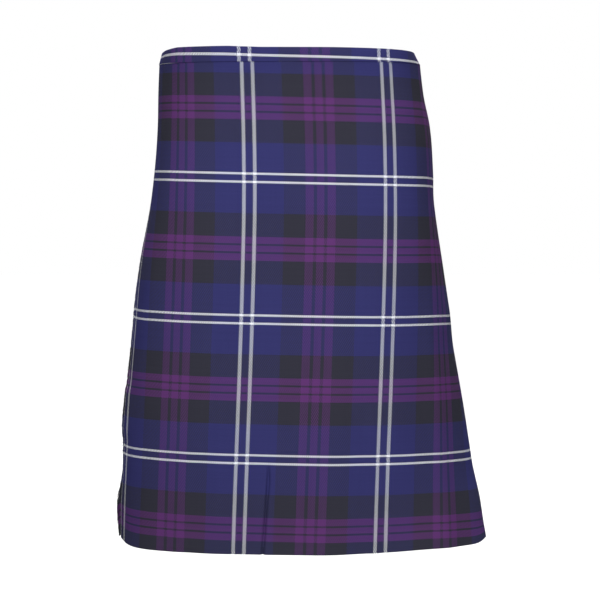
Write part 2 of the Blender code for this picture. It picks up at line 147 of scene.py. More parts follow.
# Plan of the outer face, one row a height. x0 is the foremost point, side is where the
# plan is widest, p is how flat the front is and q how full the flanks are. grain is the
# arc from the foremost point to the middle of the over apron's pattern.
PLAN = HeightTable(
    ("x0", "left", "right", "front", "side", "back", "p_left", "q_left", "p_right", "q_right", "grain"),
    (
        (-610, 23.5, 237.0, 223.5, -174, -68, 186, 2.4, 2.30, 2.05, 1.70, 0.0),
        (-538, 18.0, 231.0, 217.0, -170, -60, 178, 2.6, 2.32, 2.10, 1.65, 8.0),
        (-435, 14.0, 222.0, 205.0, -163, -50, 168, 3.0, 2.35, 2.40, 1.70, 16.0),
        (-353, 11.5, 211.0, 193.0, -156, -44, 160, 3.3, 2.48, 2.85, 1.78, 21.5),
        (-271, 11.0, 201.0, 181.0, -149, -37, 154, 3.5, 2.65, 3.30, 1.98, 24.5),
        (-182, 12.0, 186.0, 167.5, -139, -30, 146, 3.6, 2.85, 3.50, 2.25, 25.0),
        (-96, 12.0, 179.0, 162.0, -125, -15, 126, 3.3, 2.80, 3.40, 2.38, 24.0),
        (-47, 10.5, 177.0, 156.5, -118, -7, 116, 3.0, 2.60, 3.20, 2.42, 24.0),
        (0, 9.0, 174.0, 153.0, -112, 0, 112, 2.9, 2.50, 3.00, 2.42, 24.0),
    ),
)

# fold: arc of the over apron's folded edge; lead: from there to the first pleat; pitch:
# from layer to layer; tuck: how far a pleat's hidden layers reach under it
FOLDS = HeightTable(
    ("fold", "lead", "pitch", "tuck"),
    (
        (-610, 250.0, 62.0, 3.3, 23.0),
        (-400, 249.0, 58.0, 2.6, 19.0),
        (-200, 243.0, 53.0, 1.7, 15.5),
        (-100, 234.0, 51.0, 1.55, 13.5),
        (0, 224.0, 50.0, 1.5, 12.0),
    ),
)

# How much lower the cross threads lie for each millimetre to the wearer's left, and how
# far they sag at mid height and towards the two sides
TILT_HEIGHTS = (-489.0, -321.5, -152.0)
TILTS = (0.0154, 0.0188, 0.0222)
MID_SAG = Bell(1.4, -305.0, 125.0)
LEFT_SAG = Step(2.4, 140.0, 100.0)
RIGHT_SAG = Step(1.2, -185.0, -70.0)


class Girth:
    """The plan of the outer face at one height, walked from the foremost point."""

    BACK_P = 2.3
    BACK_Q = 2.25
    STEP = 1.0
    SOFTEN = 9.0
    REACH = 4

    def __init__(self, z: float) -> None:
        """Draws the plan.

        Args:
            z: The height.
        """
        row = {name: PLAN.at(z, name) for name in PLAN.columns}
        t = (1 - np.cos(np.linspace(0, math.pi, 161))) * math.pi / 4
        front, back = row["side"] - row["front"], row["back"] - row["side"]
        quarters = (
            (row["right"], -front, row["p_right"], row["q_right"], t),
            (row["right"], back, self.BACK_P, self.BACK_Q, t[::-1]),
            (-row["left"], back, self.BACK_P, self.BACK_Q, t),
            (-row["left"], -front, row["p_left"], row["q_left"], t[::-1]),
        )
        points = []
        for reach, depth, p, q, angle in quarters:
            x = row["x0"] + reach * np.clip(np.sin(angle), 0, 1) ** (2 / p)
            y = row["side"] + depth * np.clip(np.cos(angle), 0, 1) ** (2 / q)
            points.append(np.stack([x, y], axis=1)[:-1])
        xy = self.softened(self.even(np.concatenate(points)))
        low, high = xy[:, 0].min(), xy[:, 0].max()
        x = xy[:, 0] - row["x0"]
        right, left = row["right"] / (high - row["x0"]), row["left"] / (row["x0"] - low)
        x = np.where(x > 0, x * right, x * left)
        self.xy = self.even(np.stack([x + row["x0"], xy[:, 1]], axis=1))
        around = np.vstack([self.xy, self.xy[:1]])
        self.length = float(np.hypot(*np.diff(around, axis=0).T).sum())
        along = np.roll(self.xy, -self.REACH, axis=0) - np.roll(self.xy, self.REACH, axis=0)
        along /= np.hypot(*along.T)[:, None]
        self.out = np.stack([along[:, 1], -along[:, 0]], axis=1)
        self.grain = row["grain"]

    @classmethod
    def even(cls, xy: Array) -> Array:
        """Spaces the points of a closed line evenly.

        Args:
            xy: The line's points.

        Returns:
            The new points.
        """
        closed = np.vstack([xy, xy[:1]])
        s = np.concatenate([[0], np.cumsum(np.hypot(*np.diff(closed, axis=0).T))])
        at = np.linspace(0, s[-1], int(round(s[-1] / cls.STEP)), endpoint=False)
        return np.stack([np.interp(at, s, closed[:, i]) for i in (0, 1)], axis=1)

    @classmethod
    def softened(cls, xy: Array) -> Array:
        """Rounds the tightest bends of a closed line.

        Args:
            xy: The line's points.

        Returns:
            The softened points.
        """
        reach = int(4 * cls.SOFTEN / cls.STEP)
        weights = np.exp(-0.5 * (np.arange(-reach, reach + 1) * cls.STEP / cls.SOFTEN) ** 2)
        weights /= weights.sum()
        padded = np.vstack([xy[-reach:], xy, xy[:reach]])
        return np.stack([np.convolve(padded[:, i], weights, "valid") for i in (0, 1)], axis=1)

    def place(self, s: Array, d: Array) -> Array:
        """Finds points on the plan.

        Args:
            s: Arcs from the foremost point.
            d: Depths outwards.

        Returns:
            One x, y row a point.
        """
        n = len(self.xy)
        at = np.mod(s, self.length) / self.length * n
        i = at.astype(int) % n
        f = (at - np.floor(at))[:, None]
        j = (i + 1) % n
        xy = self.xy[i] * (1 - f) + self.xy[j] * f
        out = self.out[i] * (1 - f) + self.out[j] * f
        return xy + out * np.asarray(d, float)[:, None]


@dataclass(frozen=True)
class Crease:
    """A soft trough or ridge that runs down the cloth.

    path holds heights and shares of the way round, from the top down. lift is how far it
    stands out, and below 0 for a trough. A lip beside it turns the cloth back.
    """

    path: tuple[tuple[float, float], ...]
    width: float
    lift: float
    lip: float = 0.35
    fade: float = 40.0
    LIP_AWAY = 2.2
    LIP_WIDTH = 1.5

    def at(self, z: float, turn: Array, length: float) -> Array:
        """How far this crease moves the cloth outwards.

        Args:
            z: The height.
            turn: Shares of the way round.
            length: The girth at that height.

        Returns:
            One depth a share.
        """
        heights, shares = zip(*self.path[::-1])
        away = (np.mod(turn - np.interp(z, heights, shares) + 0.5, 1.0) - 0.5) * length
        grown = ease((heights[-1] - z) / self.fade)
        if heights[0] > HEM:
            grown *= ease((z - heights[0]) / self.fade)
        lip = Bell(self.lip, self.LIP_AWAY * self.width, self.LIP_WIDTH * self.width)
        return self.lift * grown * (Bell(1.0, 0.0, self.width).at(away) - lip.at(away))


@dataclass(frozen=True)
class Ripple:
    """A wave round the body that grows towards the hem."""

    waves: int
    lift: float
    start: float
    drift: float
    STILL = 0.12
    GROWTH = 1.5

    def at(self, z: float, turn: Array) -> Array:
        """How far this wave moves the cloth outwards.

        Args:
            z: The height.
            turn: Shares of the way round.

        Returns:
            One depth a share.
        """
        down = z / HEM
        grown = max(down - self.STILL, 0.0) ** self.GROWTH
        return self.lift * grown * np.sin(2 * math.pi * self.waves * turn + self.start + self.drift * down)


@dataclass
class Hang:
    """How the cloth hangs: its plan at each height, with creases and ripples."""

    creases: tuple[Crease, ...] = (
        Crease(((-494, -0.0424), (-520, -0.0413), (-560, -0.0420), (-609, -0.0428)), 1.75, -4.2, 0.08, 26.0),
        Crease(((-60, 0.0155), (-92, 0.0150), (-128, 0.0165)), 6.0, -0.7),
        Crease(((-246, 0.0390), (-300, 0.0402), (-372, 0.0398)), 7.0, -0.8),
        Crease(((-330, -0.1120), (-470, -0.1180), (-609, -0.1240)), 11.0, 1.5),
        Crease(((-300, 0.1260), (-450, 0.1300), (-609, 0.1330)), 12.0, 1.3),
        Crease(((-430, 0.0560), (-520, 0.0585), (-609, 0.0600)), 8.0, 1.1),
        Crease(((-360, 0.3110), (-480, 0.3150), (-609, 0.3180)), 12.0, 2.0),
        Crease(((-300, 0.4620), (-450, 0.4660), (-609, 0.4700)), 14.0, -2.2),
        Crease(((-380, 0.5830), (-500, 0.5800), (-609, 0.5790)), 11.0, 2.0),
        Crease(((-320, 0.7060), (-460, 0.7020), (-609, 0.6990)), 13.0, -1.8),
        Crease(((-518, -0.2230), (-545, -0.2215), (-609, -0.2190)), 19.0, 6.0, 0.0, 46.0),
        Crease(((-404, -0.2200), (-440, -0.2170), (-486, -0.2120)), 20.0, 2.8, 0.0, 22.0),
        Crease(((-320, 0.2030), (-440, 0.1950), (-560, 0.1900)), 52.0, -3.0, 0.0, 50.0),
        Crease(((-50, 0.2350), (-110, 0.2200), (-190, 0.2150)), 45.0, 2.6, 0.0, 40.0),
    )
    ripples: tuple[Ripple, ...] = (
        Ripple(7, 1.5, 0.6, 0.9),
        Ripple(11, 1.2, 2.1, -1.3),
        Ripple(18, 0.8, 4.0, 1.7),
    )
    height_step: float = 0.25
    fold_arc: float = 250.0
    free_corner: Bell = Bell(6.5, -6.0, 24.0)
    hem_middle: Bell = Bell(1.8, -100.0, 62.0)
    fold_corner: Bell = Bell(6.0, 3.0, 18.0)
    low: Step = Step(1.0, -530.0, -78.0)
    lowest: Step = Step(1.0, -582.0, -26.0)
    made: dict[float, Girth] = field(default_factory=dict)

    def girth(self, z: float) -> Girth:
        """The plan at a height, drawn once.

        Args:
            z: The height.

        Returns:
            The plan.
        """
        key = round(float(z), 2)
        if key not in self.made:
            self.made[key] = Girth(key)
        return self.made[key]

    def sway(self, s: Array, z: float) -> Array:
        """How far the hanging cloth stands out from its plan.

        Args:
            s: Arcs from the foremost point.
            z: The height.

        Returns:
            One depth an arc.
        """
        girth = self.girth(z)
        turn = (np.asarray(s, float) - girth.grain) / girth.length
        moved = sum(ripple.at(z, turn) for ripple in self.ripples)
        return moved + sum(crease.at(z, turn, girth.length) for crease in self.creases)

    def hitch(self, s: Array, z: float) -> Array:
        """How far the over apron's lower corners and the hem between them are hitched up.

        Args:
            s: Arcs from the foremost point.
            z: The height.

        Returns:
            One rise an arc.
        """
        girth = self.girth(z)
        half = girth.length / 2
        arcs = np.asarray(s, float) - girth.grain
        ends = (APRON_EDGE, self.fold_arc)
        from_edge, from_fold = (np.mod(arcs - end + half, girth.length) - half for end in ends)
        free = self.free_corner.at(from_edge) + self.hem_middle.at(from_fold)
        return free * self.low.at(z) + self.fold_corner.at(from_fold) * self.lowest.at(z)

    def row(self, s: Array, d: Array, z: float) -> Array:
        """Places points of one height.

        Args:
            s: Arcs from the foremost point.
            d: Depths outwards.
            z: Their height.

        Returns:
            One x, y, z row a point.
        """
        s = np.asarray(s, float)
        xy = self.girth(z).place(s, np.asarray(d, float) + self.sway(s, z))
        return np.column_stack([xy, z + self.hitch(s, z)])

    def scatter(self, q: Array, d: Array, z: Array, edge: Callable[[float], float], way: float) -> Array:
        """Places points of many heights, measured from an edge of the cloth.

        Args:
            q: Arcs from the edge.
            d: Depths outwards.
            z: Heights.
            edge: Gives the edge's arc at a height.
            way: 1 where q runs to the wearer's left of the front, else -1.

        Returns:
            One x, y, z row a point.
        """
        placed = np.empty((len(q), 3))
        near = np.round(z / self.height_step) * self.height_step
        for height in np.unique(near):
            mine = near == height
            placed[mine] = self.row(edge(float(height)) + way * q[mine], d[mine], float(height))
        placed[:, 2] += z - near
        return placed

    def front_edge(self, z: float) -> float:
        """Arc of the over apron's free edge, walking from the front."""
        return APRON_EDGE + self.girth(z).grain

    def back_edge(self, z: float) -> float:
        """Arc of the same edge, reached round the back."""
        return self.girth(z).length + self.front_edge(z)

    def fold_edge(self, z: float) -> float:
        """Arc of the over apron's folded edge."""
        return FOLDS.at(z, "fold") + self.girth(z).grain

    def reveal(self, z: float) -> float:
        """How much of each pleat shows."""
        first = self.fold_edge(z) + FOLDS.at(z, "lead")
        return (self.back_edge(z) - LAST_FOLD_BEHIND - first) / (PLEATS - 1)


OVERLAP_DROP = 4.2
CLEAR = Step(1.0, 36.0, 30.0)
BEND_SHARE = 0.42


def drop(behind: Array) -> Array:
    """How much deeper the pleats lie under the over apron's edge, fringe and straps."""
    return -OVERLAP_DROP * (1 - CLEAR.at(np.asarray(behind)))


def rounded(line: Array, cuts: Sequence[float], steps: int = 3) -> Array:
    """Rounds the corners of a line.

    Args:
        line: Rows of arc, depth and anything that goes with them.
        cuts: How much of the line each corner's bend takes to either side, or 0.
        steps: How many pieces a bend has.

    Returns:
        The rounded line's rows.
    """
    most = 0.45
    made: list[Array] = []
    for i, (point, cut) in enumerate(zip(line, cuts)):
        if cut <= 0 or i in (0, len(line) - 1):
            made.append(point)
            continue
        sides = (line[i - 1] - point, line[i + 1] - point)
        a, b = (point + side * min(cut / float(np.hypot(*side[:2])), most) for side in sides)
        made += [(1 - t) ** 2 * a + 2 * t * (1 - t) * point + t * t * b for t in np.linspace(0, 1, steps + 1)]
    return np.array(made)


def sides_of(path: Array, half: float) -> tuple[Array, Array]:
    """Finds the two sides of a wall along a line, mitred at its corners.

    Args:
        path: Rows of arc and depth.
        half: Half the wall's thickness.

    Returns:
        The outer and the inner side's rows.
    """
    along = np.diff(path, axis=0)
    along /= np.hypot(*along.T)[:, None]
    across = np.stack([-along[:, 1], along[:, 0]], axis=1)
    mid = across[:-1] + across[1:]
    mid /= 1 + (across[:-1] * across[1:]).sum(axis=1)[:, None]
    mitre = np.vstack([across[:1], mid, across[-1:]])
    return path + half * mitre, path - half * mitre


class Caps(Enum):
    """How the two ends of a loft are closed."""

    FACE = "face"
    STRIP = "strip"


def loft(rings: int, size: int, caps: Caps, closed: bool = False, start: int = 0) -> list[Face]:
    """Makes faces between rings of points, each ring a closed loop.

    Args:
        rings: How many rings.
        size: Points in a ring.
        caps: How the ends are closed. A strip joins the two halves of a flat loop.
        closed: Whether the last ring joins the first.
        start: The first point's number.

    Returns:
        The faces.
    """
    faces: list[Face] = []
    for k in range(rings if closed else rings - 1):
        a, b = start + k * size, start + (k + 1) % rings * size
        for j in range(size):
            n = (j + 1) % size
            faces.append((a + j, a + n, b + n, b + j))
    if closed:
        return faces
    for base in (start, start + (rings - 1) * size):
        if caps is Caps.FACE:
            faces.append(tuple(range(base, base + size)))
            continue
        for j in range(size // 2 - 1):
            faces.append((base + j, base + j + 1, base + size - 2 - j, base + size - 1 - j))
    return faces


class Workshop:
    """Turns points and faces into finished pieces that ride on the kilt."""

    SHARP = math.radians(50)

    @classmethod
    def make(cls, name: str, points: Array, faces: Sequence[Face], weave: Array, finish: Material) -> Object:
        """Makes one piece.

        Args:
            name: The piece's name.
            points: One x, y, z row a point, in millimetres.
            faces: The faces.
            weave: One row a point that tells where it lies in the weave, in millimetres.
            finish: The material.

        Returns:
            The piece.
        """
        mesh = bpy.data.meshes.new(name)
        mesh.from_pydata((points * MM).tolist(), [], faces)
        shape = bmesh.new()
        shape.from_mesh(mesh)
        bmesh.ops.recalc_face_normals(shape, faces=shape.faces)
        if shape.calc_volume(signed=True) < 0:
            bmesh.ops.reverse_faces(shape, faces=shape.faces)
        shape.to_mesh(mesh)
        shape.free()
        corners = np.zeros(len(mesh.loops), int)
        mesh.loops.foreach_get("vertex_index", corners)
        layer = mesh.uv_layers.new(name=WEAVE)
        layer.data.foreach_set("uv", np.asarray(weave, np.float32)[corners].ravel())
        mesh.shade_smooth()
        mesh.set_sharp_from_angle(angle=cls.SHARP)
        mesh.materials.append(finish)
        return cls.placed(name, mesh)

    @staticmethod
    def placed(name: str, data: bpy.types.ID) -> Object:
        """Puts an object with some data into the scene.

        Args:
            name: The object's name.
            data: Its mesh, lamp or camera.

        Returns:
            The object.
        """
        made = bpy.data.objects.new(name, data)
        bpy.context.scene.collection.objects.link(made)
        return made

    @staticmethod
    def settle(piece: Object, slot: str, *nodes: str) -> Object:
        """Lets a piece ride on the kilt in place of its solids.

        Args:
            piece: The piece.
            slot: Not used.
            nodes: The solids that it stands for.

        Returns:
            The piece.
        """
        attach(piece, BODY)
        if nodes:
            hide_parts(*nodes)
        triangles = sum(len(face.vertices) - 2 for face in piece.data.polygons)
        log.info("%s: %d triangles, for %s", piece.name, triangles, ", ".join(nodes) or "no solid")
        return piece


Number = Union[float, "Value"]


def operator(operation: str, swapped: bool = False) -> Callable[..., "Value"]:
    """Makes a method that adds a Math node.

    Args:
        operation: The node's operation.
        swapped: Whether the value itself comes last.

    Returns:
        The method.
    """

    def method(self: "Value", *others: Number) -> "Value":
        """Works the operation out on the value and the others.

        Args:
            others: What else goes into the node.

        Returns:
            The result.
        """
        terms = (*others, self) if swapped else (self, *others)
        node = self.book.node("ShaderNodeMath", {"operation": operation}, dict(enumerate(terms)))
        return Value(self.book, node.outputs[0])

    return method


class Value:
    """A number that varies over a surface: a socket with arithmetic."""

    def __init__(self, book: "ShaderBook", socket: bpy.types.NodeSocket) -> None:
        """Wraps a socket of a book's tree."""
        self.book = book
        self.socket = socket

    __add__ = __radd__ = operator("ADD")
    __mul__ = __rmul__ = operator("MULTIPLY")
    __sub__ = operator("SUBTRACT")
    __rsub__ = operator("SUBTRACT", swapped=True)
    __truediv__ = operator("DIVIDE")
    __lt__ = operator("LESS_THAN")
    floor = operator("FLOOR")
    fract = operator("FRACT")
    sine = operator("SINE")
    folded = operator("PINGPONG")


Socket = bpy.types.NodeSocket
Input = Union[float, Sequence[float], Value, Socket]


class ShaderBook:
    """One material's nodes."""

    def __init__(self, name: str) -> None:
        """Starts a material with an empty tree.

        Args:
            name: The material's name.
        """
        self.material = bpy.data.materials.new(name)
        self.material.use_nodes = True
        self.tree = self.material.node_tree
        self.tree.nodes.clear()

    def node(
        self,
        kind: str,
        settings: Mapping[str, object] | None = None,
        inputs: Mapping[Union[str, int], Input] | None = None,
    ) -> bpy.types.Node:
        """Adds a node.

        Args:
            kind: The node's type.
            settings: Its properties, set first. stops holds a ramp's places and colours.
            inputs: Values or links of its sockets.

        Returns:
            The node.
        """
        node = self.tree.nodes.new(kind)
        for key, value in (settings or {}).items():
            if key == "stops":
                self.set_stops(node.color_ramp, value)
            elif key == "steps":
                node.color_ramp.interpolation = value
            else:
                setattr(node, key, value)
        for key, value in (inputs or {}).items():
            source = value.socket if isinstance(value, Value) else value
            if isinstance(source, Socket):
                self.tree.links.new(source, node.inputs[key])
            elif node.inputs[key].type == "RGBA":
                node.inputs[key].default_value = (*source[:3], 1.0)
            else:
                node.inputs[key].default_value = source
        return node

    @staticmethod
    def set_stops(ramp: bpy.types.ColorRamp, stops: Sequence[tuple[float, Sequence[float]]]) -> None:
        """Writes a ramp's stops.

        Args:
            ramp: The ramp.
            stops: Places from 0 to 1 with their colours, in order.
        """
        while len(ramp.elements) < len(stops):
            ramp.elements.new(1.0)
        for element, (place, colour) in zip(ramp.elements, stops):
            element.position = place
            element.color = (*colour, 1.0)

    def value(self, kind: str, inputs: Mapping[Union[str, int], Input], output: Union[str, int] = 0) -> Value:
        """Adds a node and wraps one of its outputs."""
        return Value(self, self.node(kind, None, inputs).outputs[output])

    def weave(self) -> tuple[Value, Value]:
        """Where a point lies in the weave: across and down, in millimetres.

        Returns:
            The two values.
        """
        place = self.node("ShaderNodeUVMap", {"uv_map": WEAVE}).outputs[0]
        parts = self.node("ShaderNodeSeparateXYZ", None, {0: place})
        return Value(self, parts.outputs[0]), Value(self, parts.outputs[1])

    def spot(self) -> Socket:
        """Where a point lies in the kilt, in metres."""
        return self.node("ShaderNodeTexCoord").outputs["Object"]

    def pair(self, x: Number, y: Number) -> Socket:
        """Two values as one vector."""
        return self.node("ShaderNodeCombineXYZ", None, {0: x, 1: y}).outputs[0]

    def noise(self, vector: Socket, scale: float, detail: float = 2.0) -> Value:
        """Soft noise from 0 to 1 at places along a vector."""
        return self.value("ShaderNodeTexNoise", {"Vector": vector, "Scale": scale, "Detail": detail})

    def dice(self, number: Value) -> Value:
        """A fixed random value from 0 to 1 for each number."""
        node = self.node("ShaderNodeTexWhiteNoise", {"noise_dimensions": "1D"}, {"W": number})
        return Value(self, node.outputs["Value"])

    def ramp(self, place: Value, stops: Sequence[tuple[float, Sequence[float]]]) -> Socket:
        """Bands of colour with hard edges, read at places from 0 to 1."""
        settings = {"steps": "CONSTANT", "stops": stops}
        return self.node("ShaderNodeValToRGB", settings, {0: place}).outputs[0]

    def mixed(self, share: Number, a: Input, b: Input) -> Socket:
        """Colour a where share is 0 and colour b where it is 1."""
        node = self.node("ShaderNodeMix", {"data_type": "RGBA"}, {0: share, 6: a, 7: b})
        return node.outputs[2]

    def shaded(self, colour: Input, tone: Value) -> Socket:
        """A colour made lighter or darker by a tone round 1."""
        node = self.node("ShaderNodeVectorMath", {"operation": "SCALE"}, {0: colour, "Scale": tone})
        return node.outputs[0]

    def bumped(self, height: Value, distance: float, strength: float = 1.0) -> Socket:
        """The normal of a surface with relief, distance in metres."""
        inputs = {"Strength": strength, "Distance": distance, "Height": height}
        return self.node("ShaderNodeBump", None, inputs).outputs[0]

    def finished(self, **inputs: Input) -> Material:
        """Closes the tree with a principled shader.

        Args:
            inputs: Its sockets, with underscores for spaces.

        Returns:
            The material.
        """
        named = {key.replace("_", " "): value for key, value in inputs.items()}
        named = {key.replace("Ior", "IOR"): value for key, value in named.items()}
        shader = self.node("ShaderNodeBsdfPrincipled", None, named)
        self.node("ShaderNodeOutputMaterial", None, {"Surface": shader.outputs[0]})
        return self.material


Colour = tuple[float, float, float]


@dataclass(frozen=True)
class TartanFinish:
    """Twill-woven tartan. Bands are counted out from the middle of a purple stripe."""

    name: str = "tartan cloth"
    # The dark yarns, navy, black and purple, are set lighter than their dye alone: they also hold the cloth's
    # soft sheen, painted into the colour.
    navy: Colour = (0.038, 0.0385, 0.150)
    black: Colour = (0.0360, 0.0355, 0.052)
    purple: Colour = (0.120, 0.038, 0.168)
    white: Colour = (0.90, 0.92, 0.97)
    half_sett_across: float = 86.0
    half_sett_down: float = 84.3
    edges_across: tuple[float, ...] = (0.0, 4.3, 8.3, 17.9, 44.2, 77.2, 81.6)
    edges_down: tuple[float, ...] = (0.0, 3.6, 5.9, 14.0, 41.9, 77.9, 80.6)
    purple_down: float = 72.9
    shift_across: float = 0.0
    shift_down: float = 0.0
    end_pitch: float = 0.575
    pick_pitch: float = 0.6
    rib_rise: float = 1.05
    weft_share: float = 0.63
    twill: float = 4.0

    def bands(self, book: ShaderBook, place: Value, edges: Sequence[float], half: float) -> Socket:
        """The colour of one set of threads.

        Args:
            book: The material's nodes.
            place: How far a point is from a purple stripe's middle.
            edges: Where each band starts, out from there.
            half: Half the sett.

        Returns:
            The colour.
        """
        colours = (self.purple, self.black, self.purple, self.black, self.navy, self.white, self.navy)
        stops = [(edge / half, colour) for edge, colour in zip(edges, colours)]
        return book.ramp(place.folded(half) / half, stops)

    def cross_threads(self, book: ShaderBook, v: Value) -> Socket:
        """The colour of the cross threads at places down the cloth."""
        place = v + (self.shift_down - self.purple_down)
        return self.bands(book, place, self.edges_down, self.half_sett_down)

    def material(self) -> Material:
        """Builds the material.

        Returns:
            The cloth, with its colour, its ribs and its threads' small differences, and painted shade in the
            grooves between its floats.
        """
        book = ShaderBook(self.name)
        u, v = book.weave()
        warp = self.bands(book, u + self.shift_across, self.edges_across, self.half_sett_across)
        weft = self.cross_threads(book, v)
        end = u / self.end_pitch
        rib = ((end.floor() - v / self.rib_rise) / self.twill).fract()
        weft_up = rib < self.weft_share
        colour = book.mixed(weft_up, warp, weft)
        weft_crown = (rib * (math.pi / self.weft_share)).sine()
        warp_crown = ((rib - self.weft_share) * (math.pi / (1 - self.weft_share))).sine()
        crown = weft_up * weft_crown + (1 - weft_up) * warp_crown
        thread = book.dice(end.floor()) * (1 - weft_up) + book.dice((v / self.pick_pitch).floor()) * weft_up
        cloudy = book.noise(book.pair(u * 0.02, v * 0.008), 1.0, 3.0)
        fibre = book.noise(book.pair(u * 2.4, v * 2.4), 1.0)
        # crown is highest along each float's middle and lowest at its edges, so in the tone it paints shade
        # into the grooves between floats. thread, cloudy and fibre are the yarns' own tone.
        tone = 0.80 + crown * 0.13 + thread * 0.10 + cloudy * 0.10 + fibre * 0.10
        relief = crown * 0.6 + (end.fract() * math.pi).sine() * 0.3 + fibre * 0.25
        return book.finished(
            Base_Color=book.shaded(colour, tone),
            Roughness=0.82 + fibre * 0.12,
            # Low, as the cloth's sheen is painted into the dark yarn colours.
            Specular_IOR_Level=0.05,
            Normal=book.bumped(relief, 0.00022, 0.7),
        )


@dataclass(frozen=True)
class YarnFinish:
    """Frayed yarns, each of the colour that its cross thread has in the cloth."""

    cloth: TartanFinish
    name: str = "frayed yarn"

    def material(self) -> Material:
        """Builds the material.

        Returns:
            The material.
        """
        book = ShaderBook(self.name)
        u, v = book.weave()
        colour = self.cloth.cross_threads(book, v)
        fibre = book.noise(book.pair(u * 3.0, v * 3.0), 1.0, 3.0)
        twist = ((u * 1.3 + v * 2.0).fract() * math.pi).sine()
        # twist paints shade where the yarn's plies meet. fibre is the yarn's own tone.
        tone = 0.72 + fibre * 0.36 + twist * 0.14
        return book.finished(
            Base_Color=book.shaded(colour, tone),
            Roughness=0.86 + fibre * 0.1,
            Specular_IOR_Level=0.05,
            Normal=book.bumped(twist * 0.5 + fibre * 0.5, 0.0001, 0.8),
        )


@dataclass(frozen=True)
class LeatherFinish:
    """Black strap leather with a fine grain, rubbed a little lighter in soft patches."""

    name: str = "strap leather"
    dark: Colour = (0.010, 0.0095, 0.010)
    worn: Colour = (0.040, 0.034, 0.031)

    def material(self) -> Material:
        """Builds the material.

        Returns:
            The material.
        """
        book = ShaderBook(self.name)
        spot = book.spot()
        cells = book.node("ShaderNodeTexVoronoi", None, {"Vector": spot, "Scale": 1100.0})
        grain = Value(book, cells.outputs["Distance"])
        soft = book.noise(spot, 60.0, 4.0)
        fine = book.noise(spot, 900.0, 3.0)
        wear = book.mixed(soft * 0.55, self.dark, self.worn)
        return book.finished(
            Base_Color=book.shaded(wear, 0.8 + grain * 0.35 + fine * 0.15),
            Roughness=0.36 + soft * 0.18 + grain * 0.08,
            Specular_IOR_Level=0.5,
            Normal=book.bumped(grain * 0.7 + fine * 0.4, 0.00012, 0.7),
        )


@dataclass(frozen=True)
class NickelFinish:
    """Polished nickel plate with faint handling marks."""

    name: str = "nickel plate"
    bright: Colour = (0.66, 0.655, 0.64)
    dull: Colour = (0.50, 0.49, 0.47)

    def material(self) -> Material:
        """Builds the material.

        Returns:
            The material.
        """
        book = ShaderBook(self.name)
        spot = book.spot()
        marks = book.noise(spot, 260.0, 5.0)
        smear = book.noise(spot, 45.0, 2.0)
        return book.finished(
            Base_Color=book.mixed(smear * 0.7, self.bright, self.dull),
            Metallic=1.0,
            Roughness=0.12 + marks * 0.14 + smear * 0.08,
            Normal=book.bumped(marks, 0.00003, 0.5),
        )


@dataclass(frozen=True)
class ThreadFinish:
    """Waxed black sewing thread with its twist."""

    name: str = "waxed thread"
    colour: Colour = (0.030, 0.029, 0.034)

    def material(self) -> Material:
        """Builds the material.

        Returns:
            The material.
        """
        book = ShaderBook(self.name)
        u, v = book.weave()
        twist = (((u + v) * 1.6).fract() * math.pi).sine()
        return book.finished(
            # The twist is also painted shade: the thread is darkest where its plies meet.
            Base_Color=book.shaded(self.colour, 0.7 + twist * 0.6),
            Roughness=0.5 + twist * 0.1,
            Normal=book.bumped(twist, 0.00006, 0.8),
        )


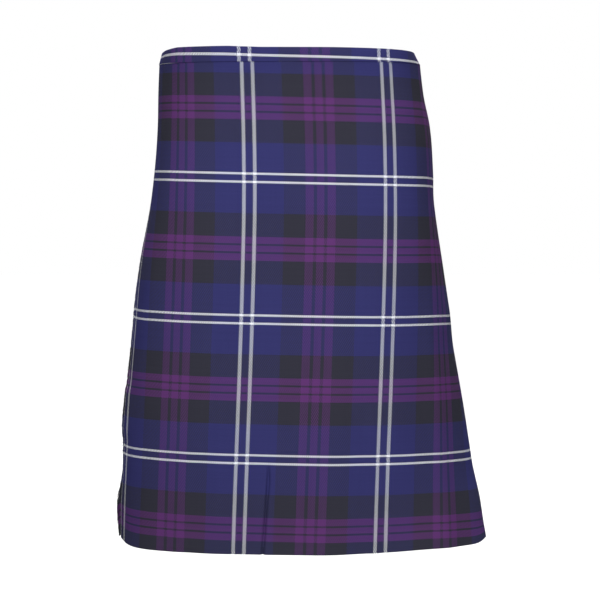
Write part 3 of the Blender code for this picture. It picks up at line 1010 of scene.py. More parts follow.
@dataclass
class Wall:
    """A sheet of cloth one layer thick, built from one line a height."""

    hang: Hang
    top: float = CLOTH_TOP
    hem: float = HEM
    step: float = 5.4
    slit_top: float = -18.6
    slit_low: float = -43.4

    def levels(self) -> Array:
        """The heights of the wall's rows, from the top down.

        Returns:
            One height a row.
        """
        made = [np.array([self.top])]
        for high, low in pairwise((self.top, self.slit_top, self.slit_low, self.hem)):
            count = max(1, round((high - low) / self.step))
            made.append(np.linspace(high, low, count + 1)[1:])
        return np.concatenate(made)

    @staticmethod
    def tilted(z: float, across: Array) -> Array:
        """Where the cross threads run at arcs from the pattern's middle."""
        sag = MID_SAG.at(z) + LEFT_SAG.at(across) + RIGHT_SAG.at(across)
        return -z - sag - np.interp(z, TILT_HEIGHTS, TILTS) * across

    def path(self, z: float) -> Array:
        """The wall's middle line at one height.

        Args:
            z: The height.

        Returns:
            Rows of arc, depth, and place across and down the weave.
        """
        raise NotImplementedError

    def slit(self, path: Array, z: float) -> Array:
        """Marks the stretches of a path that a slit opens."""
        return np.zeros(len(path) - 1, bool)

    def build(self, name: str, finish: Material) -> Object:
        """Builds the wall.

        Args:
            name: The piece's name.
            finish: The material.

        Returns:
            The piece.
        """
        levels = self.levels()
        points, weave = [], []
        for z in map(float, levels):
            path = self.path(z)
            outer, inner = sides_of(path[:, :2], HALF)
            loop = np.vstack([outer, inner[::-1]])
            points.append(self.hang.row(loop[:, 0], loop[:, 1], z))
            weave.append(np.vstack([path[:, 2:], path[::-1, 2:]]))
        size = len(points[0])
        faces = loft(len(levels), size, Caps.STRIP)
        columns = np.flatnonzero(self.slit(self.path(self.top), self.top))
        if len(columns):
            faces = self.cut(faces, size, levels, columns)
        return Workshop.make(name, np.concatenate(points), faces, np.concatenate(weave), finish)

    def cut(self, faces: list[Face], size: int, levels: Array, columns: Array) -> list[Face]:
        """Takes a slit out of a wall and closes its rim.

        Args:
            faces: The whole wall's faces.
            size: Points in a row.
            levels: The rows' heights.
            columns: The stretches that the slit opens.

        Returns:
            The faces with the slit.
        """
        near = 0.01
        rows = np.flatnonzero((levels <= self.slit_top + near) & (levels > self.slit_low + near))
        gone = {(int(k), int(j)) for k in rows for j in columns}
        gone |= {(k, size - 2 - j) for k, j in set(gone)}
        kept = [face for n, face in enumerate(faces) if (n // size, n % size) not in gone]
        left, right = int(columns[0]), int(columns[-1]) + 1

        def both(k: int, j: int) -> tuple[int, int]:
            """The outer and the inner point of one place."""
            return k * size + j, k * size + size - 1 - j

        ring = [(int(rows[0]), j) for j in range(left, right)]
        ring += [(int(k), right) for k in rows]
        ring += [(int(rows[-1]) + 1, j) for j in range(right, left, -1)]
        ring += [(int(k) + 1, left) for k in rows[::-1]]
        for here, there in zip(ring, ring[1:] + ring[:1]):
            (a, b), (c, d) = both(*here), both(*there)
            kept.append((a, c, d, b))
        return kept


@dataclass
class OverApron(Wall):
    """The flat front, from its fringed edge to its fold and a short return inside it."""

    columns: int = 150
    return_depth: float = 30.0
    # Columns set close together, where the sharp fold low on the front runs
    fine_from: float = -66.3
    fine_pitch: float = 0.8
    fine_columns: int = 29

    def path(self, z: float) -> Array:
        """The front's line, its fold and its return.

        Args:
            z: The height.

        Returns:
            Rows of arc, depth, and place across and down the weave.
        """
        grain = self.hang.girth(z).grain
        edge, fold = APRON_EDGE, FOLDS.at(z, "fold")
        pitch = FOLDS.at(z, "pitch")
        fine = self.fine_from + self.fine_pitch * np.arange(self.fine_columns)
        face = np.sort(np.concatenate([np.linspace(edge, fold - 6.0, self.columns), fine]))
        back = fold - np.array([3.0, 8.0, 16.0, self.return_depth])
        inside = -HALF - pitch
        s = np.concatenate([face, [fold, fold], back])
        d = np.concatenate([np.full(len(face), -HALF), [-HALF, inside], np.full(len(back), inside)])
        u = np.concatenate([face, [fold, fold + pitch], 2 * fold + pitch - back])
        rows = np.column_stack([s + grain, d, u, self.tilted(z, np.minimum(u, fold))])
        cuts = np.zeros(len(rows))
        cuts[len(face) : len(face) + 2] = BEND_SHARE * pitch
        return rounded(rows, cuts, 4)


@dataclass
class PleatedBack(Wall):
    """Knife pleats round the back, folded so that the sett shows whole at the hip."""

    hem: float = -606.0
    step: float = 6.4
    first_across: float = 300.0
    hip: float = -170.0
    slit_from: float = 12.5
    slit_to: float = 21.0
    return_depth: float = 30.0
    bulge: float = 1.0
    stray: float = 1.5
    stations: tuple[float, ...] = (0.06, 0.2, 0.36, 0.52, 0.68)
    short_of_fold: float = 0.14
    side_tilt: float = 250.0

    def strayed(self, s: Array, z: float, first: float, last: float) -> Array:
        """Moves the folds a little sideways, more towards the hem.

        Args:
            s: Arcs.
            z: The height.
            first: The first pleat's arc.
            last: The last pleat's arc.

        Returns:
            The moved arcs.
        """
        down = z / HEM
        window = ease((s - first - 5) / 40) * ease((last - 45 - s) / 40)
        turn = (s - first) / (last - first)
        wave = 0.6 * np.sin(56 * turn + 1.3 + 2.1 * down) + 0.5 * np.sin(35 * turn + 4.0 - 1.6 * down)
        return s + self.stray * down**1.4 * window * wave

    def path(self, z: float) -> Array:
        """The pleats' line, from under the over apron's fold to under its free edge.

        Args:
            z: The height.

        Returns:
            Rows of arc, depth, and place across and down the weave.
        """
        hang = self.hang
        fold, end = hang.fold_edge(z), hang.back_edge(z)
        lead, pitch, tuck = (FOLDS.at(z, name) for name in ("lead", "pitch", "tuck"))
        first, last = fold + lead, end - LAST_FOLD_BEHIND
        reveal, shown = hang.reveal(z), hang.reveal(self.hip)
        rows: list[tuple[float, float, float]] = []
        cuts: list[float] = []

        def add(s: float, d: float, u: float, cut: float = 0.0) -> None:
            """Adds one corner or station of the line."""
            rows.append((s, d, u))
            cuts.append(cut)

        def face(start: float, slope: float, u: float, inner: float) -> None:
            """Adds the part of a pleat that shows, a little full.

            Args:
                start: The arc of the pleat's fold.
                slope: How steeply it rises.
                u: The place across the weave at the next fold.
                inner: The depth at the fold.
            """
            for share in self.stations:
                full = self.bulge * z / HEM * math.sin(math.pi * share)
                add(start + share * reveal, inner + slope * share * reveal + full, u - (1 - share) * reveal)

        across = self.first_across
        outer, middle, inner = (-HALF - layer * pitch for layer in (0, 1, 2))
        for x in (self.return_depth - 1.5, 20.0, 10.0, 2.0):
            add(fold - x, inner, across - lead - x)
        slope = 2 * pitch / lead
        for x in (6.0, self.slit_from, 16.75, self.slit_to, 27.0, 34.0, lead - tuck):
            add(fold + x, outer - slope * (lead - x), across - (lead - x))
        bend = BEND_SHARE * pitch
        for i in range(PLEATS):
            at, final = first + i * reveal, i == PLEATS - 1
            deep = middle - slope * tuck
            add(at, outer, across, bend)
            add(at, middle, across + pitch, bend)
            add(at - tuck, deep, across + tuck, 0.0 if final else bend)
            if final:
                break
            across += shown
            slope = 2 * pitch / reveal
            add(at - tuck, deep - pitch, across - reveal - tuck, bend)
            add(at, inner, across - reveal)
            face(at, slope, across, inner)
            short = self.short_of_fold * reveal
            add(at + reveal - short, outer - slope * short, across - short)
        line = rounded(np.array(rows), cuts, 3)
        s = self.strayed(line[:, 0], z, first, last)
        way = 1 - 2 * (line[:, 0] - fold) / (end - fold)
        v = self.tilted(z, self.side_tilt * way)
        return np.column_stack([s, line[:, 1] + drop(end - line[:, 0]), line[:, 2], v])

    def slit(self, path: Array, z: float) -> Array:
        """Opens the stretch that the inner strap passes through.

        Args:
            path: The wall's middle line.
            z: Its height.

        Returns:
            Whether each stretch of the path is open.
        """
        fold = self.hang.fold_edge(z)
        middle = (path[:-1, 0] + path[1:, 0]) / 2
        shallow = np.abs(np.diff(path[:, 1])) < 3.0
        near = (middle > fold + self.slit_from) & (middle < fold + self.slit_to)
        return near & shallow


@dataclass
class UnderApron(Wall):
    """The flat panel inside the over apron."""

    hem: float = -599.0
    depth: float = -2.8
    depth_at_edge: float = -4.8
    end_at_top: float = 180.0
    end_at_hem: float = 200.0
    short_of_tuck: float = 1.2
    columns: int = 90

    def end(self, z: float) -> float:
        """Arc of the panel's free edge.

        Args:
            z: The height.

        Returns:
            The arc, reached round the back.
        """
        girth = self.hang.girth(z)
        at_hem = self.end_at_hem - self.end_at_top
        return girth.length + girth.grain + self.end_at_top + at_hem * min(z / HEM, 1)

    def path(self, z: float) -> Array:
        """The panel's line, from inside the last pleat to its free edge.

        Args:
            z: The height.

        Returns:
            Rows of arc, depth, and place across and down the weave.
        """
        hang = self.hang
        end = hang.back_edge(z)
        pitch, tuck = FOLDS.at(z, "pitch"), FOLDS.at(z, "tuck")
        slope = 2 * pitch / hang.reveal(z)
        inner = -HALF - OVERLAP_DROP - 2 * pitch
        tuck -= self.short_of_tuck
        start = LAST_FOLD_BEHIND + tuck
        edge, flat = self.depth_at_edge, self.depth
        known = np.array([
            (end - start, inner - slope * tuck),
            (end - LAST_FOLD_BEHIND, inner),
            (end + 6, (inner * 2 + edge * 3) / 5),
            (end + 20, edge),
            (end + 33, edge),
            (end + 46, (edge + flat) / 2),
            (end + 60, flat),
        ])
        near = np.concatenate([
            np.linspace(end - start, end - LAST_FOLD_BEHIND, 6),
            np.linspace(end - LAST_FOLD_BEHIND, end + 60, 24)[1:],
        ])
        s = np.concatenate([near, np.linspace(end + 60, self.end(z), self.columns)[1:]])
        d = np.interp(s, known[:, 0], known[:, 1])
        girth = hang.girth(z)
        u = s - girth.length - girth.grain
        return np.column_stack([s, d, u, self.tilted(z, u)])


@dataclass
class Waistband:
    """A folded strip of the same cloth along the top edge."""

    hang: Hang
    proud: float = 0.5
    corner: float = 0.75
    bend: int = 3
    station: float = 3.0
    tilt: float = 0.0195
    tilt_from: float = -200.0
    tilt_to: float = 250.0
    inner_front: float = -1.7
    inner_back: float = -4.6
    corner_low: float = 0.4
    rise_at: tuple[float, ...] = (-262.0, -230.0, -180.0, -110.0, -70.0, 20.0, 90.0, 130.0, 210.0, 330.0)
    rise: tuple[float, ...] = (-1.0, 0.4, 4.2, 4.2, 2.6, 2.4, 1.4, 0.4, -2.6, 0.6)
    leans: tuple[Bell, ...] = (Bell(6.6, 184.0, 40.0), Bell(3.2, -240.0, 40.0))

    def profile(self, outer: float, inner: float) -> Array:
        """The strip's section as rows of depth and height.

        Args:
            outer: The outer side's depth.
            inner: The inner side's depth.

        Returns:
            A closed loop with rounded corners.
        """
        low = -BAND_HEIGHT
        corners = ((outer, low, 1, -1), (outer, 0.0, 1, 1), (inner, 0.0, -1, 1), (inner, low, -1, -1))
        starts = (-90.0, 0.0, 90.0, 180.0)
        rows = []
        for (d, z, out, up), start in zip(corners, starts):
            r = self.corner if up > 0 else self.corner_low
            for k in range(self.bend + 1):
                angle = math.radians(start + 90.0 * k / self.bend)
                rows.append((d - out * r + r * math.cos(angle), z - up * r + r * math.sin(angle)))
        return np.array(rows)

    def strip(
        self, name: str, arcs: Array, outer: Array, inner: Array, round_back: Array, finish: Material
    ) -> Object:
        """Builds a strip.

        Args:
            name: The piece's name.
            arcs: Arcs of its stations at the top of the waist.
            outer: Depths of its outer side.
            inner: Depths of its inner side.
            round_back: How much of the girth's growth each station takes, from 0 to 1.
            finish: The material.

        Returns:
            The piece.
        """
        top = self.hang.girth(0.0)
        points, weave = [], []
        for s, out, into, share in zip(arcs, outer, inner, round_back):
            for d, z in self.profile(float(out), float(into)):
                girth = self.hang.girth(round(z * 2) / 2)
                arc = s + girth.grain - top.grain + (girth.length - top.length) * share
                across = s - top.grain - top.length * (share >= 1.0)
                around = (across + 0.5 * top.length) % top.length - 0.5 * top.length
                near_top = 1 + z / BAND_HEIGHT
                lean = near_top * sum(bell.at(around) for bell in self.leans)
                x, y = girth.place(np.array([arc]), np.array([d - lean]))[0]
                points.append((x, y, z + near_top * np.interp(across, self.rise_at, self.rise)))
                tilted = min(max(across, self.tilt_from), self.tilt_to)
                weave.append((across, -z - self.tilt * tilted))
        size = len(points) // len(arcs)
        faces = loft(len(arcs), size, Caps.FACE)
        return Workshop.make(name, np.array(points), faces, np.array(weave), finish)

    def outer_strip(self, finish: Material) -> Object:
        """Builds the strip of the over apron and the pleated back.

        Args:
            finish: The material.

        Returns:
            The piece.
        """
        hang = self.hang
        edge, fold, end = hang.front_edge(0.0), hang.fold_edge(0.0), hang.back_edge(0.0)
        front = np.linspace(edge, fold - 1, int((fold - edge) / self.station))
        back = np.linspace(fold + 3, end + 6, int((end - fold) / self.station))
        deeper = drop(end - back)
        arcs = np.concatenate([front, back])
        ripple = 0.12 * np.sin(arcs / 9.0) + 0.08 * np.sin(arcs / 4.3 + 1.0)
        outer = np.concatenate([np.full(len(front), self.proud), self.proud + deeper]) + ripple
        inner = np.concatenate([np.full(len(front), self.inner_front), self.inner_back + deeper])
        share = np.concatenate([np.zeros(len(front)), np.minimum((back - fold) / (end - fold), 0.999)])
        return self.strip("waistband_cloth", arcs, outer, inner, share, finish)

    def inner_strip(self, under: UnderApron, finish: Material) -> Object:
        """Builds the under apron's strip.

        Args:
            under: The panel that it tops.
            finish: The material.

        Returns:
            The piece.
        """
        hang = self.hang
        length = hang.girth(0.0).length
        edge = hang.front_edge(0.0)
        start, stop = edge + 7.5, under.end(0.0) - length
        arcs = np.linspace(start, stop, int((stop - start) / self.station))
        rise = ease((arcs - edge - 33) / 27)
        middle = under.depth_at_edge + (under.depth - under.depth_at_edge) * rise
        share = np.ones(len(arcs))
        return self.strip("waistband_under_cloth", arcs + length, middle + 0.8, middle - 1.4, share, finish)


@dataclass
class Fringe:
    """Frayed yarns that stand out from the over apron's free edge."""

    hang: Hang
    pitch: float = 0.85
    reach: float = 13.2
    radius: float = 0.56
    sides: int = 4
    rings: int = 6
    strip_rows: int = 110
    near: float = 0.3
    root: float = 0.8
    strip_end: float = 2.6
    seed: int = 7
    shorter: Step = Step(0.5, -568.0, -40.0)
    steeper: Step = Step(0.6, -574.0, -34.0)
    looser: tuple[Bell, ...] = (Bell(1.0, -452.0, 38.0), Bell(1.0, -572.0, 34.0))

    def build(self, finish: Material) -> Object:
        """Builds the strip at the edge and its yarns as one piece.

        Args:
            finish: The material.

        Returns:
            The piece.
        """
        rng = np.random.default_rng(self.seed)
        top, low = CLOTH_TOP - 1.0, HEM + 2.0
        levels = np.linspace(top, low, self.strip_rows)
        corners = ((self.near, -0.1), (self.strip_end, -0.15), (self.strip_end, -0.95), (self.near, -1.0))
        rows = [(q, d, z, -q, z) for z in levels for q, d in corners]
        faces = loft(len(levels), len(corners), Caps.FACE)
        clump = 0.0
        for z in np.arange(top - self.root, low + 0.6, -self.pitch):
            clump = 0.86 * clump + rng.normal(0, 0.45)
            faces += loft(self.rings, self.sides, Caps.FACE, start=len(rows))
            length = self.reach + rng.normal(0, 0.8) + 1.3 * math.sin(z / 17.0) + 0.6 * math.sin(z / 5.3)
            length *= 1.0 - self.shorter.at(z)
            loose = 0.05 + sum(bell.at(z) for bell in self.looser)
            fall = 3.4 + rng.normal(0, 0.35) + 0.45 * clump + 5.0 * loose
            fall *= 1.0 - self.steeper.at(z)
            curl = rng.uniform(-0.3, 0.3) + 0.2 * math.sin(z / 13.0) + loose * rng.uniform(0.8, 1.4)
            rows += self.yarn(z, length, fall, curl, rng.uniform(0, 6.3))
        table = np.array(rows)
        points = self.hang.scatter(*table[:, :3].T, self.hang.back_edge, -1.0)
        down = [Wall.tilted(z, APRON_EDGE) for z in table[:, 4]]
        weave = np.column_stack([APRON_EDGE + table[:, 3], down])
        return Workshop.make("fringe_yarns", points, faces, weave, finish)

    def yarn(self, z: float, length: float, fall: float, curl: float, kink: float) -> list[tuple[float, ...]]:
        """Lays one yarn.

        Args:
            z: The height of its root.
            length: How far it reaches.
            fall: How far its tip drops.
            curl: How far its tip turns outwards.
            kink: Where its small bends begin.

        Returns:
            Rows of arc from the edge, depth, height, and place in the weave.
        """
        rows = []
        for k in range(self.rings):
            t = k / (self.rings - 1)
            q = self.strip_end - self.root + (length + self.root) * t
            d = -0.5 + curl * t * t + 0.14 * math.sin(kink + 5 * t) * t
            sunk = fall * t**1.6 + 0.3 * math.sin(kink * 1.7 + 6 * t) * t
            girth = self.radius * (1.0 - 0.25 * t)
            for side in range(self.sides):
                angle = 2 * math.pi * (side + 0.5) / self.sides
                up, out = girth * math.sin(angle), girth * math.cos(angle)
                rows.append((q, d + out, z - sunk + up, -q, z))
        return rows


class Line:
    """A bent line of along and up places, read by the length along it."""

    def __init__(self, points: Sequence[tuple[float, float]], soften: float = 1.6) -> None:
        """Rounds the line's corners.

        Args:
            points: Rows of along and up.
            soften: How much of the line each bend takes to either side.
        """
        self.points = rounded(np.array(points, float), [soften] * len(points), 4)
        steps = np.hypot(*np.diff(self.points, axis=0).T)
        self.at = np.concatenate([[0], np.cumsum(steps)])
        self.length = float(self.at[-1])
        slopes = np.diff(self.points, axis=0) / steps[:, None]
        mid = np.vstack([slopes[:1], slopes[:-1] + slopes[1:], slopes[-1:]])
        self.way = mid / np.hypot(*mid.T)[:, None]

    def reach(self, along: float) -> float:
        """The length at which the line gets to a place along."""
        return float(np.interp(along, self.points[:, 0], self.at))

    def offset(self, s: float, up: float) -> tuple[float, float]:
        """The place at a length, moved off the line.

        Args:
            s: The length.
            up: How far off the line.

        Returns:
            Along and up.
        """
        x, y, wx, wy = (np.interp(s, self.at, column) for column in (*self.points.T, *self.way.T))
        size = math.hypot(wx, wy)
        return float(x - wy / size * up), float(y + wx / size * up)


Row = tuple[list[bmesh.types.BMVert], ...]


@dataclass
class Strip:
    """A flat strip of leather along a line, with rounded edges and holes."""

    line: Line
    wall: float
    half_width: Callable[[float], float]
    most: float = 3.0
    holes: tuple[float, ...] = ()
    hole_radius: float = 1.8
    slots: tuple[tuple[float, float], ...] = ()
    column: float = 2.4
    edge: float = 0.38
    ring: int = 16

    def cuts(self) -> list[float]:
        """Finds where the strip has a row of points.

        Returns:
            Lengths along the line, in order.
        """
        clear = 0.7
        count = int(self.line.length / self.most) + 2
        found = {round(float(v), 4) for v in np.linspace(0, self.line.length, count)}
        around = [(h - self.column, h + self.column) for h in self.holes]
        gone = around + [(end, end) for slot in self.slots for end in slot]
        found = {c for c in found if not any(a - clear < c < b + clear for a, b in gone)}
        return sorted(found | {round(end, 4) for span in (*around, *self.slots) for end in span})

    def shape(self) -> tuple[Array, list[Face]]:
        """Makes the strip's points and faces.

        Returns:
            Rows of along, across and up, and the faces.
        """
        body = bmesh.new()
        near = 1e-3
        cuts = self.cuts()
        grid: list[Row] = []
        for s in cuts:
            width = self.half_width(s)
            inner = min(self.column, width * 0.6)
            mid = (inner + width) / 2
            across = (-width, -mid, -inner, inner, mid, width)
            grid.append(tuple([self.vert(body, s, v, side) for v in across] for side in (1, -1)))
        for (start, here), (end, there) in pairwise(zip(cuts, grid)):
            hole = [h for h in self.holes if abs(start - (h - self.column)) < near]
            slot = any(start > a - near and end < b + near for a, b in self.slots)
            cells = [0, 1, 3, 4] if hole or slot else range(5)
            for j in cells:
                for top, low in zip(here, there):
                    body.faces.new((top[j], top[j + 1], low[j + 1], low[j]))
            if hole:
                self.punch(body, here, there, hole[0])
            for j in (0, 2, 3, 5) if slot else (0, 5):
                body.faces.new((here[0][j], there[0][j], there[1][j], here[1][j]))
            for (top, low), place, known in ((here, start, 0), (there, end, 1)):
                if slot and any(abs(place - ends[known]) < near for ends in self.slots):
                    body.faces.new((top[2], top[3], low[3], low[2]))
        for top, low in (grid[0], grid[-1]):
            for j in range(5):
                body.faces.new((top[j], top[j + 1], low[j + 1], low[j]))
        return self.smoothed(body)

    def vert(self, body: bmesh.types.BMesh, s: float, across: float, side: int) -> bmesh.types.BMVert:
        """Adds a point on the upper or lower face."""
        along, up = self.line.offset(s, side * self.wall / 2)
        return body.verts.new((along, across, up))

    def punch(self, body: bmesh.types.BMesh, here: Row, there: Row, middle: float) -> None:
        """Fills a cell round a hole.

        Args:
            body: The mesh.
            here: The row of points before the hole.
            there: The row after it.
            middle: The hole's place along the strip.
        """
        rings = []
        quarter = self.ring // 4
        for side, first, last in zip((1, -1), here, there):
            ring = []
            for n in range(self.ring):
                angle = 2 * math.pi * n / self.ring + math.pi / 4
                x, y = self.hole_radius * math.cos(angle), self.hole_radius * math.sin(angle)
                ring.append(self.vert(body, middle + x, y, side))
            corners = (last[3], first[3], first[2], last[2])
            for n in range(self.ring):
                corner, following = corners[n // quarter], corners[(n // quarter + 1) % 4]
                early = n % quarter < quarter // 2
                body.faces.new((corner if early else following, ring[n], ring[(n + 1) % self.ring]))
                if n % quarter == quarter // 2:
                    body.faces.new((corner, ring[n], following))
            rings.append(ring)
        for n in range(self.ring):
            m = (n + 1) % self.ring
            body.faces.new((rings[0][n], rings[0][m], rings[1][m], rings[1][n]))

    def smoothed(self, body: bmesh.types.BMesh) -> tuple[Array, list[Face]]:
        """Rounds the strip's edges.

        Args:
            body: The mesh, which is freed.

        Returns:
            Its points and faces.
        """
        bmesh.ops.recalc_face_normals(body, faces=body.faces)
        sharp = [e for e in body.edges if e.is_manifold and e.calc_face_angle() > math.radians(60)]
        bmesh.ops.bevel(body, geom=sharp, offset=self.edge, segments=2, profile=0.5, affect="EDGES")
        body.verts.index_update()
        points = np.array([tuple(v.co) for v in body.verts])
        faces = [tuple(v.index for v in face.verts) for face in body.faces]
        body.free()
        return points, faces


def tube(path: Array, radius: Array, closed: bool, sides: int = 12) -> tuple[Array, list[Face]]:
    """A round bar along a path.

    Args:
        path: Rows of along, across and up.
        radius: Its radius at each point of the path.
        closed: Whether the ends join.
        sides: How many sides it has.

    Returns:
        Its points and faces.
    """
    if closed:
        way = np.roll(path, -1, axis=0) - np.roll(path, 1, axis=0)
    else:
        way = np.gradient(path, axis=0)
    way /= np.linalg.norm(way, axis=1)[:, None]
    side = np.cross(way, (0.0, 0.0, 1.0))
    side /= np.linalg.norm(side, axis=1)[:, None]
    up = np.cross(side, way)
    angles = 2 * math.pi * (np.arange(sides) + 0.5) / sides
    points = []
    for p, a, b, r in zip(path, side, up, radius):
        points += [p + r * (a * math.cos(t) + b * math.sin(t)) for t in angles]
    return np.array(points), loft(len(path), sides, Caps.FACE, closed)


class Side(Enum):
    """The edge of the cloth that a strap comes out at."""

    FREE_EDGE = "free edge"
    FOLD = "fold"


@dataclass(frozen=True)
class Site:
    """Where a strap and buckle sit, and the strap's line before the buckle."""

    name: str
    side: Side
    height: float
    start: tuple[tuple[float, float], ...]


UNDER_FRINGE = ((-28, -2.75), (6, -2.75), (19, -2.2), (32, 1.8))
THROUGH_SLIT = ((-76, -4.9), (-48, -4.9), (-36, -6.0), (10.5, -6.0), (23.5, 1.8))
SITES = (
    Site("right_waist", Side.FREE_EDGE, -31.0, UNDER_FRINGE),
    Site("right_hip", Side.FREE_EDGE, -158.0, UNDER_FRINGE),
    Site("left_waist", Side.FOLD, -31.0, THROUGH_SLIT),
)


@dataclass
class Closure:
    """A strap with its buckle, the leather tab that holds the buckle, and a keeper."""

    hang: Hang
    site: Site
    width: float = 24.0
    wall: float = 2.0
    tab_wall: float = 1.2
    front_bar: float = 58.0
    heel_bar: float = 74.0
    tip: float = 130.0
    bar_radius: float = 1.2
    stitch_pitch: float = 3.1
    stitch_inset: float = 2.1

    def piece(self, label: str, shape: tuple[Array, list[Face]], finish: Material, slot: str) -> None:
        """Lays a shape on the kilt and lets it stand for its solid.

        Args:
            label: The kind of piece, as the solids name it.
            shape: Rows of arc behind the edge, height and depth, and faces.
            finish: The material.
            slot: The record's material slot.
        """
        points, faces = shape
        free = self.site.side is Side.FREE_EDGE
        edge, way = (self.hang.back_edge, -1.0) if free else (self.hang.fold_edge, 1.0)
        placed = self.hang.scatter(points[:, 0], points[:, 2], points[:, 1] + self.site.height, edge, way)
        made = Workshop.make(f"{self.site.name}_{label}", placed, faces, points[:, :2], finish)
        solids = () if label == "stitching" else (f"{label}_{self.site.name}",)
        Workshop.settle(made, slot, *solids)

    def line(self) -> Line:
        """The strap's line from the cloth through the buckle to its point.

        Returns:
            The line.
        """
        flat, over, rest = 1.8, 8.1, 4.9
        front, heel = self.front_bar, self.heel_bar
        end = (
            (front - 6, flat),
            (front + 1.5, flat),
            (heel - 3.0, over),
            (heel + 4.0, over),
            (heel + 12.5, rest),
            (heel + 31, rest),
            (heel + 40, flat + 0.2),
            (self.tip, flat + 0.2),
        )
        return Line((*self.site.start, *end), 2.2)

    def strap(self, line: Line, finish: Material) -> None:
        """Builds the strap, with its holes and its rounded point.

        Args:
            line: The strap's line.
            finish: The leather.
        """
        half, point = self.width / 2, 12.0

        def half_at(s: float) -> float:
            """Half the strap's width at a length."""
            left = line.length - s
            return half if left > point else half * (0.3 + 0.7 * math.sqrt(max(left / point, 0)))

        pinned = line.reach(self.front_bar) + 8.2
        last = line.reach(self.tip)
        holes = (pinned - 14, pinned, last - 48, last - 34, last - 20)
        self.piece("strap", Strip(line, self.wall, half_at, holes=holes).shape(), finish, "leather")

    def stitching(self, line: Line, finish: Material) -> None:
        """Sews a row of thread along each edge of the strap.

        Args:
            line: The strap's line.
            finish: The thread.
        """
        half = self.width / 2 - self.stitch_inset
        start = line.reach(self.site.start[-1][0] + 1)
        stop = line.length - 13.0
        stitch = ((0.0, 0.1), (0.22, 0.85), (0.5, 1.0), (0.78, 0.85), (1.0, 0.1))
        around = [(0.3 * math.cos(math.pi * n / 3), 0.24 * math.sin(math.pi * n / 3)) for n in range(6)]
        points, faces = [], []
        for s in np.arange(start, stop, self.stitch_pitch):
            for across in (-half, half):
                faces += loft(len(stitch), len(around), Caps.FACE, start=len(points))
                for share, size in stitch:
                    x, y = line.offset(float(s) + share * (self.stitch_pitch - 0.9), self.wall / 2 + 0.05)
                    points += [(x, across + size * out, y + size * up) for out, up in around]
        self.piece("stitching", (np.array(points), faces), finish, "leather")

    def frame(self, finish: Material) -> None:
        """Bends the buckle's frame, round-cornered and a little bowed.

        Args:
            finish: The metal.
        """
        wide, low, high = self.width / 2 + 3.2, 3.5, 4.7
        corner = 2.6
        ring = []
        corners = (
            (self.front_bar, wide, high, 180.0),
            (self.heel_bar, wide, low, 90.0),
            (self.heel_bar, -wide, low, 0.0),
            (self.front_bar, -wide, high, -90.0),
        )
        for along, across, up, start in corners:
            inward = corner if along == self.front_bar else -corner
            middle = (along + inward, across - math.copysign(corner, across))
            for k in range(7):
                angle = math.radians(start - 90.0 * k / 6)
                ring.append((middle[0] + corner * math.cos(angle), middle[1] + corner * math.sin(angle), up))
            if up == high and across < 0 or along == self.heel_bar and across > 0:
                ring += [(ring[-1][0], ring[-1][1] * share, up) for share in (0.6, 0.2, -0.2, -0.6)]
        path = np.array(ring)
        span = self.heel_bar - self.front_bar
        path[:, 2] = high + (low - high) * (path[:, 0] - self.front_bar) / span
        self.piece("frame", tube(path, np.full(len(path), self.bar_radius), True, 14), finish, "metal")

    def prong(self, finish: Material) -> None:
        """Bends the prong from the heel bar over the strap to the front bar.

        Args:
            finish: The metal.
        """
        front, heel = self.front_bar, self.heel_bar
        bends = (
            (heel - 1.8, 3.6),
            (heel - 7.6, 3.4),
            (heel - 9.4, 6.7),
            (front + 2.5, 7.5),
            (front - 2.4, 7.3),
        )
        bent = rounded(np.array(bends), [1.6] * len(bends), 5)
        path = np.column_stack([bent[:, 0], np.zeros(len(bent)), bent[:, 1]])
        radius = np.full(len(path), 0.85)
        radius[-1] = 0.55
        self.piece("prong", tube(path, radius, False, 10), finish, "metal")

    def tab(self, finish: Material) -> None:
        """Folds the tab round the heel bar, with a slot for the prong.

        Args:
            finish: The leather.
        """
        low, heel = 3.5, self.heel_bar
        bottom = 0.75 + self.tab_wall / 2
        top = low + 1.2 + bottom
        nose = heel - 1.2 - 0.9 - self.tab_wall / 2
        rest = bottom + self.tab_wall + SEAM
        line = Line(
            (
                (heel + 30, bottom),
                (heel - 0.3, bottom),
                (nose, low - 0.9),
                (nose, low + 1.1),
                (heel - 1.2, top),
                (heel + 2.5, top),
                (heel + 11.5, rest),
                (heel + 30, rest),
            ),
            0.9,
        )
        slot = (30.9, 40.5)
        half = self.width / 2 - 0.5
        strip = Strip(line, self.tab_wall, lambda s: half, slots=(slot,), column=1.6, edge=0.25)
        self.piece("tab", strip.shape(), finish, "leather")

    def keeper(self, finish: Material) -> None:
        """Loops the keeper over the strap behind the buckle.

        Args:
            finish: The leather.
        """
        foot, leg, roof = 0.5, self.width / 2 + 1.1, 7.2
        hoop = Line(
            ((-leg, foot), (-leg, roof - 1), (-leg + 1, roof), (leg - 1, roof), (leg, roof - 1), (leg, foot)),
            1.0,
        )
        points, faces = Strip(hoop, 1.2, lambda s: 4.0, edge=0.3).shape()
        middle = self.heel_bar + 20
        turned = np.column_stack([middle + points[:, 1], points[:, 0], points[:, 2]])
        self.piece("keeper", (turned, faces), finish, "leather")

    def build(self, leather: Material, nickel: Material, thread: Material) -> None:
        """Builds all of the closure's pieces.

        Args:
            leather: The straps' material.
            nickel: The buckles' material.
            thread: The stitches' material.
        """
        line = self.line()
        self.strap(line, leather)
        self.stitching(line, thread)
        self.frame(nickel)
        self.prong(nickel)
        self.tab(leather)
        self.keeper(leather)


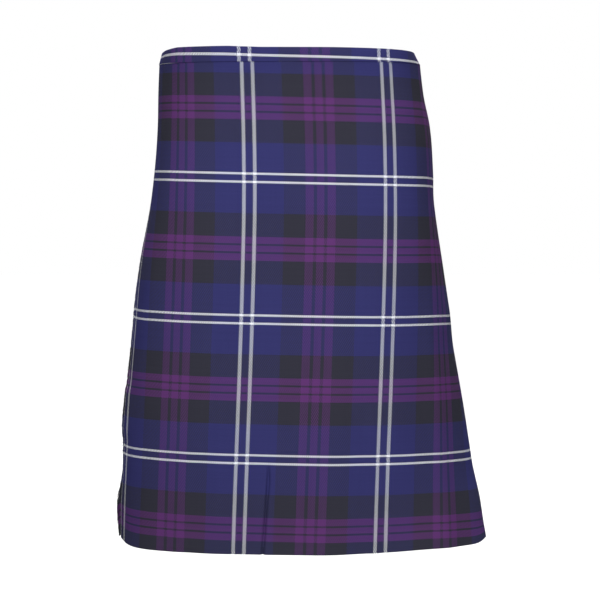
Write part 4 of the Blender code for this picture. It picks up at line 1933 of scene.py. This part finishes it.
@dataclass
class Studio:
    """A pale floor, soft light from all round and the photograph's camera."""

    floor_height: float = -0.91
    floor_size: float = 24.0
    floor_colour: Colour = (0.97, 0.97, 0.97)
    room_light: float = 0.14
    overhead_strength: float = 3.0
    lens: float = 121.98
    camera_place: tuple[float, float, float] = (0.012, -2.590, -0.144)
    pitch_down: float = 3.715
    lamps: tuple[tuple[str, tuple[float, float, float], float, float], ...] = (
        ("front light", (0.02, -1.45, 0.0), 1.0, 15.0),
        ("left light", (1.2, 2.8, 0.9), 1.6, 13.0),
        ("right light", (-1.2, 2.8, 0.9), 1.6, 13.0),
    )

    def camera(self) -> None:
        """Sets the camera at the photograph's angle."""
        data = bpy.data.cameras.new("camera")
        data.lens = self.lens
        data.sensor_width = 36.0
        camera = Workshop.placed("camera", data)
        camera.location = self.camera_place
        camera.rotation_euler = (math.radians(90 - self.pitch_down), 0.0, 0.0)
        bpy.context.scene.camera = camera

    def floor(self) -> None:
        """Lays the floor."""
        half = self.floor_size / 2
        mesh = bpy.data.meshes.new("floor")
        corners = [(-half, -half), (half, -half), (half, half), (-half, half)]
        mesh.from_pydata([(x, y, self.floor_height) for x, y in corners], [], [(0, 1, 2, 3)])
        mesh.materials.append(ShaderBook("floor paint").finished(Base_Color=self.floor_colour, Roughness=0.9))
        floor = Workshop.placed("floor", mesh)
        floor.visible_diffuse = False

    @staticmethod
    def lamp(name: str, place: tuple[float, float, float], size: float, watts: float) -> None:
        """Hangs a soft square lamp that faces the middle of the kilt.

        Args:
            name: The lamp's name.
            place: Where it hangs, in metres.
            size: The length of its sides.
            watts: Its strength.
        """
        data = bpy.data.lights.new(name, "AREA")
        data.size = size
        data.energy = watts
        lamp = Workshop.placed(name, data)
        lamp.location = place
        lamp.visible_camera = False
        x, y, z = place
        lamp.rotation_euler = (math.atan2(math.hypot(x, y), z + 0.3), 0.0, math.atan2(y, x) + math.pi / 2)

    def overhead(self) -> None:
        """Hangs a broad light straight above, which whitens the floor."""
        data = bpy.data.lights.new("overhead light", "SUN")
        data.energy = self.overhead_strength
        data.angle = math.radians(40)
        Workshop.placed("overhead light", data)

    def daylight(self) -> None:
        """Fills the room with even light, in front of a plain white backdrop."""
        world = bpy.data.worlds.new("studio")
        world.use_nodes = True
        tree = world.node_tree
        room, backdrop = tree.nodes["Background"], tree.nodes.new("ShaderNodeBackground")
        for light in (room, backdrop):
            light.inputs["Color"].default_value = (1.0, 1.0, 1.0, 1.0)
        room.inputs["Strength"].default_value = self.room_light
        seen = tree.nodes.new("ShaderNodeLightPath")
        either = tree.nodes.new("ShaderNodeMixShader")
        tree.links.new(seen.outputs["Is Camera Ray"], either.inputs[0])
        tree.links.new(room.outputs[0], either.inputs[1])
        tree.links.new(backdrop.outputs[0], either.inputs[2])
        tree.links.new(either.outputs[0], tree.nodes["World Output"].inputs["Surface"])
        bpy.context.scene.world = world

    def build(self) -> None:
        """Builds the whole studio."""
        bpy.context.scene.view_settings.view_transform = "Standard"
        self.daylight()
        self.camera()
        self.floor()
        self.overhead()
        for lamp in self.lamps:
            self.lamp(*lamp)
        log.info("studio: floor, lights and camera")


def main() -> None:
    """Builds the kilt's looks, piece by piece."""
    logging.basicConfig(level=logging.INFO, format="%(name)s: %(message)s")
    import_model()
    Studio().build()
    hang = Hang()
    cloth = TartanFinish().material()
    band_cloth = TartanFinish(name="waistband cloth", shift_across=3.0, shift_down=142.3).material()
    yarn = YarnFinish(TartanFinish()).material()

    under_apron, waistband = UnderApron(hang), Waistband(hang)
    over = Workshop.settle(OverApron(hang).build("over_apron_cloth", cloth), "tartan", "apron_over")
    back = Workshop.settle(PleatedBack(hang).build("pleated_back_cloth", cloth), "tartan", "back_pleats")
    under = Workshop.settle(under_apron.build("under_apron_cloth", cloth), "tartan", "apron_under")
    band = Workshop.settle(waistband.outer_strip(band_cloth), "waistband", "waistband")
    under_band = waistband.inner_strip(under_apron, band_cloth)
    Workshop.settle(under_band, "waistband", "waistband_under")
    fringe = Workshop.settle(Fringe(hang).build(yarn), "fringe", "fringe")

    leather, nickel = LeatherFinish().material(), NickelFinish().material()
    thread = ThreadFinish().material()
    for site in SITES:
        Closure(hang, site).build(leather, nickel, thread)


if __name__ == "__main__":
    main()
